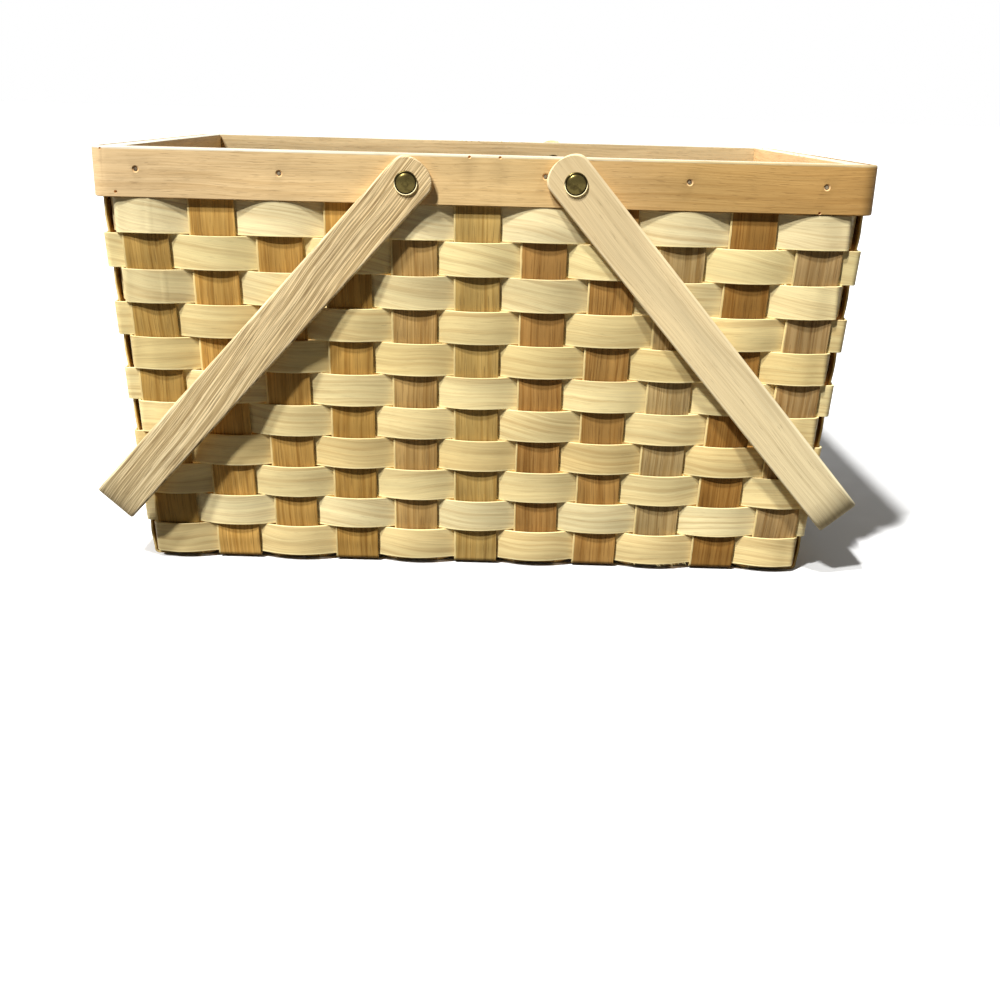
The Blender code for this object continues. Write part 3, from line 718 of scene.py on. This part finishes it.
def hoop_guide(row, strip, tint, slant):
    """Walk front, right, back and left. Each side has its own along and outward direction."""
    low, top = ROWS[row]
    z = (low + top) / 2
    tuck = TUCK_SHARE * (end_half(z) - long_x(len(LONG) - 1, z) - STAKE_W / 2)
    points, faces, lifts = [], [], []

    def corner_level(sign, wall_at):
        """Distance outward from the stakes' middle at which a strip meets a corner."""
        return WEAVE_OFFSET if sign > 0 else -(tuck if wall_at is end_half else WEAVE_OFFSET)

    def keep(flat, face, lift, lean):
        points.append((flat.x - face.x * lift * BELLY, flat.y - face.y * lift * BELLY, z))
        faces.append(Vector((face.x, face.y, -lean)).normalized())
        lifts.append(lift)

    first = 0
    for along, place, count, length_at, wall_at in SIDES:
        outward = Vector((along.y, -along.x))
        signs = [1 if (first + k + row) % 2 == 0 else -1 for k in range(count)]
        centres = [place(k, z) for k in range(count)]
        first_level, last_level = (corner_level(sign, wall_at) for sign in (signs[0], signs[-1]))
        start = -(length_at(z) + corner_level(-signs[0], length_at)) + TURN_R
        end = length_at(z) + corner_level(-signs[-1], length_at) - TURN_R
        next_lift = corner_level(-signs[-1], length_at) / BELLY
        ends = (abs(first_level) / BELLY, abs(last_level) / BELLY)
        wall = wall_at(z)
        lean = (wall_at(top) - wall_at(low)) / (top - low)
        for t in np.linspace(start, end, int((end - start) / WEAVER_STEP)):
            lift = lift_at(t, centres, signs, ends, end - centres[-1])
            if first == 0 and row in CREASES and abs(t - CREASES[row]) < WEAVER_STEP / 2:
                lift += CREASE_LIFT
            keep(along * float(t) + outward * (wall + lift * BELLY), outward, lift, lean)
        next_lean = (length_at(top) - length_at(low)) / (top - low)
        middle = along * end + outward * (wall + last_level - TURN_R)
        for a in np.linspace(0, math.pi / 2, TURN_STEPS + 1)[1:-1]:
            face = outward * math.cos(a) + along * math.sin(a)
            share = a / (math.pi / 2)
            lift = last_level / BELLY * (1 - share) + next_lift * share
            keep(middle + face * TURN_R, face, lift, lean * (1 - share) + next_lean * share)
        first += count
    tucked = [point[1] > 0 and lift < JOINT_LIFT for point, lift in zip(points, lifts)]
    behind = max(range(len(points)), key=lambda k: (tucked[k], points[k][0]))
    points, faces, lifts = (values[behind:] + values[:behind] for values in (points, faces, lifts))
    return make_guide(points, closed=True, face=faces, lift=lifts, run=run_along(points), strip=strip,
                      tint=tint, slant=slant)


# %% Weavers
# Shares of the weaver wood's colour, from the top row to the bottom one.
WEAVER_TINT_SHARES = [(1.01, 1.05, 1.18), (1.07, 1.08, 1.05), (1.02, 1.04, 1.08), (0.98, 0.96, 0.90),
                      (0.94, 0.91, 0.82), (1.05, 1.06, 1.06), (1.00, 0.99, 0.96), (0.94, 0.89, 0.80),
                      (1.01, 1.01, 0.99), (1.01, 1.05, 1.14), (0.98, 0.95, 0.90)]
# How far the grain leaves the strip's direction, from the top row to the bottom one.
WEAVER_SLANTS = (-0.16, -0.18, -0.20, -0.02, -0.06, -0.03, -0.10, -0.04, 0.04, -0.05, -0.08)
WEAVER_STRIP = {"Width": WEAVER_W, "Thickness": WEAVER_T, "Edge": 0.2 * MM, "Belly": BELLY,
                "Unevenness": 0.10, "Wander": 0.25 * MM, "Finish": WEAVER_WOOD}


def make_weaver(row):
    guide = hoop_guide(row, STRIPS["weaver"] + row, WEAVER_TINT_SHARES[row], WEAVER_SLANTS[row])
    seed = SEEDS["weaver"] + row
    obj = grow(f"weaver_strip_{row + 1:02d}", guide, STRIP, Seed=seed, **WEAVER_STRIP)
    settle(obj, "basket", "weaver_wood", WEAVERS[row])
    return obj


weavers = [make_weaver(row) for row in range(len(WEAVERS))]
print("weavers:", len(weavers), "triangles in one:", 2 * len(weavers[0].data.polygons))

# %% [markdown]
# ## Places of the rivets and nails
#
# The frame's own rivets and nails say where the holes go. Each place is a point on the outside
# of the rim with the way that it faces.

# %% Fastener places
WAYS = {"front": Vector((0, -1, 0)), "back": Vector((0, 1, 0)), "left": Vector((-1, 0, 0)),
        "right": Vector((1, 0, 0))}


def places(kind):
    found = []
    for name, (low, high) in BOXES.items():
        if name.startswith(kind):
            way = WAYS[next(word for word in reversed(name.split("_")) if word in WAYS)]
            middle = (low + high) / 2
            point = Vector([way[k] * rim_high[k] if way[k] else middle[k] for k in range(3)])
            found.append((point, way))
    return found


RIVETS, NAILS = places("rivet"), places("nail")
print("rivets:", len(RIVETS), "nails:", len(NAILS))

# %% [markdown]
# ## Rim
#
# Outside, one thin board is steamed and bent round the four corners. Inside, four straight
# rails fit between each other's ends, and the stakes are nailed between the two. These are
# solid bars, so they are lofted: one section for each step of a path, joined to the next. Then
# they are drilled, because a nail that only lies on the wood looks stuck on: each sits in a
# small crater that the hammer left. A few nicks are cut out of the board's edges the same way.
#
# The wood's measures are kept on the corners of the faces and not on the points. So the bar
# that closes on itself doesn't have its grain squeezed into the last step, and a drilled face
# keeps its grain.

# %% Bars
WHOLE = (1.0, 1.0, 1.0)


def wood_layers(bm):
    """Room on the face corners for run, cross, strip and tint, in that order."""
    room = bm.loops.layers
    numbers = [room.float.new(label) for label in ("run", "cross", "strip")]
    return [*numbers, room.float_vector.new("tint")]


def measure(loop, layers, *values):
    for layer, value in zip(layers, values):
        loop[layer] = value


def built(name, bm):
    """An object from a finished bmesh."""
    mesh = bpy.data.meshes.new(name)
    bm.to_mesh(mesh)
    bm.free()
    return new_object(name, mesh)


def bar(name, rings, runs, strip, tints, finish, side_shares=None, overs=None, closed=False):
    """Loft equal sections along a path and write the wood's measures on every face corner.

    tints has one colour share for each section, and side_shares one more for each side. overs
    has each section's measure over the grain, or else it is taken round the section.
    """
    bm = bmesh.new()
    layers = wood_layers(bm)
    loops = [[bm.verts.new(p) for p in ring] for ring in rings]
    sides = len(rings[0])
    side_shares = side_shares or [WHOLE] * sides
    if not overs:
        chains = [run_along([*ring, ring[0]]) for ring in rings]
        overs = [chain - chain[1] / 2 for chain in chains]

    def cover(corners, share=WHOLE):
        face = bm.faces.new([loops[n % len(rings)][k % sides] for n, k in corners])
        for loop, (n, k) in zip(face.loops, corners):
            tint = [a * b for a, b in zip(tints[n % len(rings)], share)]
            measure(loop, layers, float(runs[n]), float(overs[n % len(rings)][k]), strip, tint)

    for n in range(len(rings) if closed else len(rings) - 1):
        for k in range(sides):
            cover(((n, k), (n, k + 1), (n + 1, k + 1), (n + 1, k)), side_shares[k])
    if not closed:
        cover([(0, k) for k in range(sides)])
        cover([(len(rings) - 1, k) for k in reversed(range(sides))])
    bmesh.ops.recalc_face_normals(bm, faces=bm.faces)
    obj = built(name, bm)
    obj.data.materials.append(finish)
    obj.data.shade_smooth()
    return obj


def break_edges(obj, width):
    """Round every sharp edge a little, as sandpaper does."""
    bevel = obj.modifiers.new("broken_edges", "BEVEL")
    bevel.width = width
    bevel.segments = 2
    bevel.limit_method = "ANGLE"
    bevel.angle_limit = math.radians(50)


# %% Drills
SHANK_HOLE = (2.3 * MM, 2.3 * MM, 9.0 * MM, 15.0 * MM)     # outer and inner radius, reach out and in
CRATER = (1.95 * MM, 1.2 * MM, 0.10 * MM, 0.50 * MM)
NICK = (0.9 * MM, 0.35 * MM, 0.10 * MM, 1.2 * MM)
DRILL_SIDES = 20
HOLE_TINT = (0.95, 0.90, 0.85)
NICKS = [(Vector((x * MM, rim_low.y, RIM_TOP - down * MM)), WAYS["front"])
         for x, down in ((-196.6, 1.2), (-190.0, 22.5), (-7.5, 0.9), (8.2, 0.8), (174.0, 24.4))]


def make_drill(name, holes, sizes):
    """One cutter with a rod for each hole."""
    outer_r, inner_r, outward, inward = sizes
    bm = bmesh.new()
    layers = wood_layers(bm)
    shift = Matrix.Translation((0, 0, (outward - inward) / 2))
    for point, way in holes:
        turn = way.to_track_quat("Z", "Y").to_matrix().to_4x4()
        bmesh.ops.create_cone(bm, cap_ends=True, segments=DRILL_SIDES, radius1=inner_r, radius2=outer_r,
                              depth=outward + inward, matrix=Matrix.Translation(point) @ turn @ shift)
    for face in bm.faces:
        for loop in face.loops:
            measure(loop, layers, 0.0, 0.0, STRIPS["hole"], HOLE_TINT)
    return built(name, bm)


def drill_holes(obj, *drills):
    for drill in drills:
        cut = obj.modifiers.new(drill.name, "BOOLEAN")
        cut.operation = "DIFFERENCE"
        cut.solver = "EXACT"
        cut.object = drill
    keep_result(obj)


rivet_drill = make_drill("rivet_drill", RIVETS, SHANK_HOLE)
nail_drill = make_drill("nail_drill", NAILS, CRATER)
nick_drill = make_drill("nick_drill", NICKS, NICK)

# %% Outer band
CORNER_R = 10 * MM
CORNER_STEPS = 10
BAND_STEP = 8 * MM
TOP_ROUND = 1.1 * MM           # the sanded upper edge, which catches the light from above
LOW_ROUND = 0.4 * MM
TOP_HIGHLIGHT_SHARES = (1.0, 1.30, 2.0)  # the rim's upper faces are painted paler and whiter: a painted highlight of the light from above
# Shares of the rim wood's colour along the front, by x in mm: the board is darker on the right.
BAND_TINTS = ((-203, (0.97, 1.04, 1.12)), (20, (0.92, 0.95, 0.86)), (70, (0.80, 0.77, 0.65)),
              (110, (0.66, 0.61, 0.44)), (203, (0.60, 0.51, 0.33)))
BACK_TINT = (0.96, 0.94, 0.90)


def band_path():
    """Plan of the band's outside, with the way outward, from the middle of the back round."""
    half_x, half_y = rim_high.x - CORNER_R, rim_high.y - CORNER_R
    path = []
    for quarter, (sx, sy) in enumerate(((1, -1), (1, 1), (-1, 1), (-1, -1))):
        for k in range(CORNER_STEPS + 1):
            a = math.radians(90) * (quarter - 1 + k / CORNER_STEPS)
            out = Vector((math.cos(a), math.sin(a)))
            path.append((Vector((sx * half_x, sy * half_y)) + out * CORNER_R, out))
        straight = 2 * (half_y if quarter % 2 == 0 else half_x)
        steps = int(straight / BAND_STEP)
        start, along = path[-1][0], Vector((-out.y, out.x))
        path += [(start + along * (straight * k / steps), out) for k in range(1, steps)]
    middle = min(range(len(path)), key=lambda k: (path[k][0] - Vector((0, rim_high.y))).length)
    return path[middle:] + path[:middle]


def band_tint(place):
    if place.y > 0:
        return BACK_TINT
    marks = [x * MM for x, _ in BAND_TINTS]
    channels = zip(*(tint for _, tint in BAND_TINTS))
    return tuple(float(np.interp(place.x, marks, channel)) for channel in channels)


def make_band():
    path = band_path()
    section = [(0, RIM_UNDER + LOW_ROUND)]
    for a in np.linspace(0, math.pi / 2, 4):
        section.append((TOP_ROUND * (1 - math.cos(a)), RIM_TOP - TOP_ROUND * (1 - math.sin(a))))
    section += [(BAND_T, RIM_TOP), (BAND_T, RIM_UNDER), (LOW_ROUND, RIM_UNDER)]
    rings = [[(p.x - out.x * inset, p.y - out.y * inset, z) for inset, z in section] for p, out in path]
    runs = run_along([p for p, _ in path] + [path[0][0]])
    tints = [band_tint(p) for p, _ in path]
    # The upper rounding and the top face get the painted highlight.
    side_shares = [WHOLE] + [TOP_HIGHLIGHT_SHARES] * 4 + [WHOLE] * 3
    obj = bar("rim_band", rings, runs, STRIPS["band"], tints, RIM_WOOD, side_shares, closed=True)
    drill_holes(obj, rivet_drill, nail_drill, nick_drill)
    settle(obj, "basket", "rim_wood", "rim_outer_band")
    print("band faces:", len(obj.data.polygons))


make_band()

# %% Inner rails
RAIL_TINT_SHARES = {"front": (1.0, 1.0, 1.0), "back": (0.71, 0.80, 0.87), "left": (0.95, 1.05, 1.11),
                    "right": (1.04, 1.03, 1.02)}
RAIL_STEP = 12 * MM
RAIL_ROUND = 0.6 * MM


def make_rail(where, strip):
    low, high = BOXES[f"inner_rail_{where}"]
    axis = 0 if where in ("front", "back") else 1
    steps = int((high[axis] - low[axis]) / RAIL_STEP)
    rings, runs = [], []
    for s in np.linspace(low[axis], high[axis], steps + 1):
        sides = (low[1 - axis], high[1 - axis])
        corners = [(sides[0], low.z), (sides[0], high.z), (sides[1], high.z), (sides[1], low.z)]
        rings.append([(s, c, z) if axis == 0 else (c, s, z) for c, z in corners])
        runs.append(s - low[axis])
    tints = [RAIL_TINT_SHARES[where]] * len(rings)
    # The rail's top face gets the painted highlight.
    obj = bar(f"rail_{where}", rings, runs, strip, tints, RIM_WOOD, (WHOLE, TOP_HIGHLIGHT_SHARES, WHOLE, WHOLE))
    break_edges(obj, RAIL_ROUND)
    drill_holes(obj, *([rivet_drill] if axis == 0 else []))
    settle(obj, "basket", "rim_wood", f"inner_rail_{where}")


for n, where in enumerate(RAIL_TINT_SHARES):
    make_rail(where, STRIPS["rail"] + n)
print("rim: one band and", len(RAIL_TINT_SHARES), "rails")

# %% [markdown]
# ## Handles
#
# A handle is one strap of thicker wood, steamed and bent twice into a U. Its two upper ends are
# sawn round and hang on rivets. It is lofted too, with rounded edges, along a path that says how
# far each point lies along the legs and across the basket. The frame gives the legs' direction.

# %% Handles
STRAP_W, STRAP_T = 24.5 * MM, 4.0 * MM
BEND_ALONG, BEND_ACROSS = 20.0 * MM, 8.0 * MM   # a leg eases into its bend, then turns sharply
STRAP_END_DEPTH = 8.3 * MM
STRAP_STEP = 8 * MM
STRAP_ROUND, ROUND_STEPS = 1.3 * MM, 4
STRAP_FLAT = 0.4 * MM          # keeps the shading of the flat faces flat up to their rounding
TIP_START = 0.15               # angle of the sawn end's first section
TIP_STEPS, STRAP_BEND_STEPS = 12, 13
HANDLE_GAP = 0.4 * MM
BEND_DEPTH = 9.0 * MM          # deeper in than this, the frame's handle is crossbar only
LEG_Y = rim_high.y + HANDLE_GAP + STRAP_T / 2
# Shares of the handle wood's colour at the rivets and at the crossbar.
HANDLE_TINT_SHARES = {"left": ((1.12, 1.09, 1.02), (1.00, 1.03, 1.02)),
                      "right": ((1.36, 1.38, 1.48), (1.18, 1.29, 1.47))}
# The strap's rounded edges and narrow faces are painted paler: partly worn wood, partly a painted
# highlight that widens the lit edge.
HANDLE_EDGE_HIGHLIGHT_SHARES = (1.15, 1.2, 1.3)


def handle_pose(side):
    """Pivot, direction of the legs, and how far the handle reaches both ways from the pivot."""
    low, high = BOXES[f"rivet_{side}_front"]
    pivot = Vector(((low.x + high.x) / 2, 0, (low.z + high.z) / 2))
    corners = [v.co.copy() for v in frame["nodes"][f"handle_{side}"].data.vertices]
    bar_only = [Vector((c.x, 0, c.z)) - pivot for c in corners if abs(c.y) < LEG_Y - BEND_DEPTH]
    along = (sum(bar_only, Vector()) / len(bar_only)).normalized()
    reaches = [(Vector((c.x, 0, c.z)) - pivot).dot(along) for c in corners]
    return pivot, along, max(reaches), -min(reaches)


def strap_path(reach, end_reach):
    """Middle line as (along the legs, across the basket, half width), from tip to tip."""
    bar_at = reach - STRAP_T / 2
    half = []
    for a in np.linspace(TIP_START, math.pi / 2, TIP_STEPS):
        u = -end_reach + STRAP_END_DEPTH * (1 - math.cos(a))
        half.append((u, -LEG_Y, STRAP_W / 2 * math.sin(a)))
    for u in np.arange(half[-1][0] + STRAP_STEP, bar_at - BEND_ALONG - STRAP_STEP / 4, STRAP_STEP):
        half.append((float(u), -LEG_Y, STRAP_W / 2))
    for a in np.linspace(0, math.pi / 2, STRAP_BEND_STEPS):
        u, v = bar_at - BEND_ALONG * (1 - math.sin(a)), -LEG_Y + BEND_ACROSS * (1 - math.cos(a))
        half.append((u, v, STRAP_W / 2))
    for v in np.arange(half[-1][1] + STRAP_STEP, 0, STRAP_STEP):
        half.append((bar_at, float(v), STRAP_W / 2))
    return half + [(u, -v, w) for u, v, w in reversed(half)]


def strap_section(half):
    """Outline of the strap as (over its width, through it), from the middle, with round corners."""
    radius = min(STRAP_ROUND, 0.8 * half)
    points = []
    for quarter, (w_sign, t_sign) in enumerate(((1, -1), (1, 1), (-1, 1), (-1, -1))):
        w, t = w_sign * (half - radius), t_sign * (STRAP_T / 2 - radius)
        arc = []
        for k in range(ROUND_STEPS + 1):
            a = math.radians(90) * (quarter - 1 + k / ROUND_STEPS)
            arc.append((w + radius * math.cos(a), t + radius * math.sin(a)))
        flat_part = w_sign * max(0.0, half - radius - STRAP_FLAT)
        if quarter % 2 == 0:
            points += [(flat_part, arc[0][1]), *arc]
        else:
            points += [*arc, (flat_part, arc[-1][1])]
    return points


def make_handle(side, strip):
    pivot, along, reach, end_reach = handle_pose(side)
    wide = Vector((along.z, 0, -along.x))
    path = strap_path(reach, end_reach)
    flat = [Vector((u, v)) for u, v, _ in path]
    top_tint, bar_tint = (np.array(t) for t in HANDLE_TINT_SHARES[side])
    rings, tints, overs = [], [], []
    for k, (u, v, half) in enumerate(path):
        step = (flat[min(k + 1, len(flat) - 1)] - flat[max(k - 1, 0)]).normalized()
        left = Vector((-step.y, step.x))
        section, ring = strap_section(half), []
        for over, through in section:
            q = flat[k] + left * through
            p = pivot + along * q.x + wide * over
            ring.append((p.x, q.y, p.z))
        rings.append(ring)
        overs.append([over + through for over, through in [*section, section[0]]])
        tints.append(tuple(float(c) for c in top_tint + (bar_tint - top_tint) * max(0.0, u) / reach))
    # Rounded edges and narrow faces get the paler paint, part of it a painted highlight.
    side_shares = ([WHOLE] + [HANDLE_EDGE_HIGHLIGHT_SHARES] * (2 * ROUND_STEPS + 1) + [WHOLE] * 2) * 2
    obj = bar(f"handle_strap_{side}", rings, run_along(flat), strip, tints, HANDLE_WOODS[side],
              side_shares, overs)
    drill_holes(obj, rivet_drill)
    settle(obj, f"{side}_handle", "handle_wood", f"handle_{side}")
    down = math.degrees(math.asin(-along.z))
    print(f"handle_{side}: reach {reach / MM:.1f} mm, {down:.2f} degrees down")


for n, side in enumerate(HANDLE_TINT_SHARES):
    make_handle(side, STRIPS["handle"] + n)
for drill in (rivet_drill, nail_drill, nick_drill):
    bpy.data.objects.remove(drill)

# %% [markdown]
# ## Rivets, washers and nails, by Geometry Nodes
#
# These are turned pieces that repeat, so each kind is turned once as a pattern, and one tree
# sets copies of it on the places. `Tilt` and `Spread` let a copy lean and change its size. The
# same tree later sows the loose fibres, where both matter more.

# %% Scatter tree
def scatter_tree():
    tree, given = new_tree("scatter", Pattern="Object", Tilt="Float", Spread="Float")

    def chance(low, high, offset):
        """Each point's own random number. The node's inputs 2, 3 and 8 are low, high and seed."""
        inputs = {2: low, 3: high, 8: work(tree, "ADD", given["Seed"], offset)}
        return add(tree, "FunctionNodeRandomValue", inputs, data_type="FLOAT").outputs[1]

    def turn(facing, axis, angle):
        step = add(tree, "FunctionNodeAxisAngleToRotation", {"Axis": axis, "Angle": angle}).outputs[0]
        inputs = {0: facing, 1: step}
        return add(tree, "FunctionNodeRotateRotation", inputs, rotation_space="LOCAL").outputs[0]

    pattern = add(tree, "GeometryNodeObjectInfo", {"Object": given["Pattern"]}).outputs["Geometry"]
    face = named(tree, "face", "FLOAT_VECTOR")
    facing = add(tree, "FunctionNodeAlignRotationToVector", {"Vector": face}, axis="Z").outputs[0]
    facing = turn(facing, (0, 0, 1), chance(-math.pi, math.pi, 0))
    facing = turn(facing, (1, 0, 0), work(tree, "MULTIPLY", chance(-1.0, 1.0, 1), given["Tilt"]))
    size = work(tree, "MULTIPLY_ADD", chance(-1.0, 1.0, 2), given["Spread"], 1.0)
    inputs = {"Points": given["Geometry"], "Instance": pattern, "Rotation": facing, "Scale": size}
    copies = add(tree, "GeometryNodeInstanceOnPoints", inputs).outputs[0]
    return close_tree(tree, copies, given["Finish"])


SCATTER = scatter_tree()

# %% [markdown]
# ### Brass and steel
#
# The rivets are brass that has gone olive brown. The groove round the head is painted dark, a
# painted shade, and the lip is painted bright where it faces down, a painted reflection. The nails
# are plain wire with a little rust, with the same painted shade round the head and a darker painted
# shade where the lip faces down. Each turned pattern carries `rim`, its distance from the axis as a
# share of its radius.

# %% Metal finishes
# Painted shade: the dark colour laid in the groove round the heads of rivets and nails.
GROOVE_SHADE = (0.014, 0.009, 0.004)
GROOVE_SHADE_FADE, RIM_FADE = 0.05, 0.03   # shares of the radius
TARNISH = (0.40, 0.65)
LOWER_LIP_FACING = (-0.12, 0.10)           # Z of the direction in which the lip faces: its paint full, then none
METAL_RELIEF, METAL_BUMP = 0.05 * MM, 0.5
METAL_SWING = (-0.08, 0.12)        # of the roughness, with the spots


def metal(name, colour, dull, lower_lip_paint, lower_lip_from, groove, roughness, spots_per_m=700):
    """Tarnish in spots over the colour, and painted shade in the groove, a span of the radius.

    Beyond the given share of the radius, where the metal faces down, the lip is painted with its own
    colour: a bright painted reflection on the brass, a darker painted shade on the nails.
    """
    finish, tree, shader = new_finish(name)
    place = add(tree, "ShaderNodeTexCoord").outputs
    spots = noise(tree, scaled(tree, place["Object"], spots_per_m), 3.0, 0.6)
    tone = blend(tree, window(tree, spots, *TARNISH), (*colour, 1), (*dull, 1))
    rim = read(tree, "rim")
    low, high = groove
    # Painted shade in the groove.
    groove_shade = work(tree, "MULTIPLY", window(tree, rim, low - GROOVE_SHADE_FADE, low),
                window(tree, rim, high, high + RIM_FADE, 1.0, 0.0))
    tone = blend(tree, groove_shade, tone, (*GROOVE_SHADE, 1))
    up = add(tree, "ShaderNodeSeparateXYZ", {0: place["Normal"]}).outputs["Z"]
    # Painted light on the lip's lower side.
    painted_lower_lip = work(tree, "MULTIPLY", window(tree, rim, lower_lip_from, lower_lip_from + RIM_FADE),
                  window(tree, up, *LOWER_LIP_FACING, 1.0, 0.0))
    relief = {"Height": spots, "Distance": METAL_RELIEF, "Strength": METAL_BUMP}
    bump = add(tree, "ShaderNodeBump", relief)
    swing = [roughness + change for change in METAL_SWING]
    fill(tree, shader, {"Base Color": blend(tree, painted_lower_lip, tone, (*lower_lip_paint, 1)), "Metallic": 1.0,
                        "Roughness": window(tree, spots, *MIDDLE, *swing),
                        "Normal": bump.outputs["Normal"]})
    return finish


# The fourth colour is the lip's paint: a bright painted reflection on the brass, a darker painted shade
# on the nails.
BRASS = metal("antique_brass", (0.098, 0.075, 0.024), (0.050, 0.037, 0.012), (0.98, 0.86, 0.52), 0.90,
              (0.85, 0.90), 0.28, spots_per_m=300)
STEEL = metal("nail_steel", (0.22, 0.18, 0.12), (0.09, 0.06, 0.035), (0.16, 0.12, 0.08), 0.94,
              (0.80, 0.92), 0.45)

# %% Turned patterns
# Profiles as (radius, height) in mm from the rim's outside, from the inner end outward.
HEAD_LOW = 4.7
WALL = RIM_WALL / MM
TAIL = [(0, -3.2), (1.4, -3.05), (2.6, -2.6), (3.3, -2.0), (3.4, -1.6), (2.0, -1.6)]
HEAD = [(5.9, 0), (6.07, 0.15), (6.1, 0.40), (6.02, 0.62), (5.85, 0.78), (5.6, 0.86), (5.42, 0.62),
        (5.2, 0.62), (4.98, 0.98), (4.5, 1.38), (3.7, 1.70), (2.7, 1.95), (1.4, 2.12), (0, 2.16)]
SHANK_R = 2.0
RIVET_PROFILE = [(r, h - WALL) for r, h in TAIL]
RIVET_PROFILE += [(SHANK_R, HEAD_LOW)] + [(r, HEAD_LOW + h) for r, h in HEAD]
WASHER_PROFILE = [(r, h - WALL) for r, h in ((2.3, -1.3), (5.0, -1.3), (5.0, -0.3), (2.3, -0.3))]
NAIL_PROFILE = [(0, -10.3), (1.1, -9.2), (1.1, -0.5), (1.02, -0.38), (0.6, -0.32), (0, -0.3)]
METAL_SIDES = 32


def turned(name, profile, sides=METAL_SIDES, closed=False):
    """Pattern made by turning a profile round its axis."""
    bm = bmesh.new()
    rim = bm.verts.layers.float.new("rim")
    widest = max(r for r, _ in profile)
    rings = []
    for r, h in profile:
        ring = []
        for k in range(sides if r else 1):
            a = math.tau * k / sides
            ring.append(bm.verts.new((r * MM * math.cos(a), r * MM * math.sin(a), h * MM)))
            ring[-1][rim] = r / widest
        rings.append(ring)
    for low, high in zip(rings, rings[1:] + rings[:1] if closed else rings[1:]):
        for k in range(sides):
            pairs = ((low, k), (low, k + 1), (high, k + 1), (high, k))
            corners = dict.fromkeys(ring[j % len(ring)] for ring, j in pairs)
            bm.faces.new(list(corners))     # three on the axis, where both corners are one point
    bmesh.ops.recalc_face_normals(bm, faces=bm.faces)
    return built(name, bm)


def set_copies(name, pattern, spots, finish, seed, tilt=0.0, spread=0.0, **attributes):
    """Grow copies of a pattern on (point, way) spots, then drop the pattern."""
    points, ways = zip(*spots)
    guide = make_guide(points, face=[tuple(way) for way in ways], **attributes)
    obj = grow(name, guide, SCATTER, Pattern=pattern, Tilt=tilt, Spread=spread, Seed=seed, Finish=finish)
    bpy.data.objects.remove(pattern)
    return obj


# %% Set the fasteners
FASTENERS = (("rivet", RIVET_PROFILE, RIVETS, BRASS, "antique_brass"),
             ("washer", WASHER_PROFILE, RIVETS, BRASS, "antique_brass"),
             ("nail", NAIL_PROFILE, NAILS, STEEL, "nail_steel"))
for seed, (kind, profile, spots, finish, slot) in enumerate(FASTENERS, 1):
    pattern = turned(f"{kind}_pattern", profile, closed=kind == "washer")
    copies = set_copies(f"{kind}_set", pattern, spots, finish, seed)
    settle(copies, "basket", slot, *(node for node in BOXES if node.startswith(kind)))
    print(kind, "faces:", len(copies.data.polygons))

# %% [markdown]
# ## Loose fibres
#
# Veneer is sawn to width, and where the saw met slanting grain the edge stays frayed. Each
# fibre is a thin spindle with its root in the wood. They stand where the photograph shows a
# rough edge: under the bottom row, on the top row and along the tops of the rails.

# %% Fibres
FIBRE_PROFILE = [(0, -0.6), (0.15, -0.2), (0.11, 0.6), (0, 1.4)]
FIBRE_SIDES = 5
FIBRE_TILT, FIBRE_SPREAD, FIBRE_SEED = 0.7, 0.45, 4
# Fibres are painted a tenth paler than their wood, a painted highlight.
FIBRE_HIGHLIGHT_TINT = (1.1, 1.1, 1.1)
FACING = 0.3                   # how squarely a point has to face its fibre's way
EDGE_REACH = 0.35              # mm over and under an edge in which its points are looked for
CHANCE = np.random.default_rng(11)


def frayed(obj, low, high, count, way, jitter=0.0):
    """Random points of obj between two corners in mm, each with the way its fibre points."""
    low, high, way = Vector(low) * MM, Vector(high) * MM, Vector(way)
    corners = [v.co for v in obj.data.vertices
               if v.normal.dot(way) > FACING and all(low[k] <= v.co[k] <= high[k] for k in range(3))]
    picks = CHANCE.choice(len(corners), count)
    return [(corners[k] + Vector((CHANCE.uniform(-jitter, jitter), 0, 0)), way) for k in picks]


def edge_box(x_span, y_span, height):
    low, high = height / MM - EDGE_REACH, height / MM + EDGE_REACH
    return (x_span[0], y_span[0], low), (x_span[1], y_span[1], high)


row_under, row_top = ROWS[-1][0], ROWS[0][1]
front_span = (-130, -100)
veneer_spots = frayed(weavers[-1], *edge_box((88, 124), front_span, row_under), 26, (0.5, -0.3, -0.8))
veneer_spots += frayed(weavers[0], *edge_box((168, 181), front_span, row_top), 5, (0.4, -0.5, 0.8))
veneer_spots += frayed(weavers[0], *edge_box((-108, -94), front_span, row_top), 5, (-0.4, -0.5, 0.8))
back, right = (bpy.data.objects[f"rail_{where}"] for where in ("back", "right"))
rim_spots = frayed(back, *edge_box((-25, 70), (100, 130), RIM_TOP), 16, (0.7, -0.4, 0.5), 6 * MM)
rim_spots += frayed(right, *edge_box((180, 210), (-90, 100), RIM_TOP), 14, (-0.3, 0.6, 0.6))
for name, spots, finish, slot in (("veneer_fibres", veneer_spots, WEAVER_WOOD, "weaver_wood"),
                                  ("rail_fibres", rim_spots, RIM_WOOD, "rim_wood")):
    pattern = turned("fibre_pattern", FIBRE_PROFILE, FIBRE_SIDES)
    fibres = set_copies(name, pattern, spots, finish, FIBRE_SEED, FIBRE_TILT, FIBRE_SPREAD,
                        run=0.0, cross=0.0, strip=STRIPS["fibre"], tint=FIBRE_HIGHLIGHT_TINT)
    settle(fibres, "basket", slot)
    print(name, len(spots))
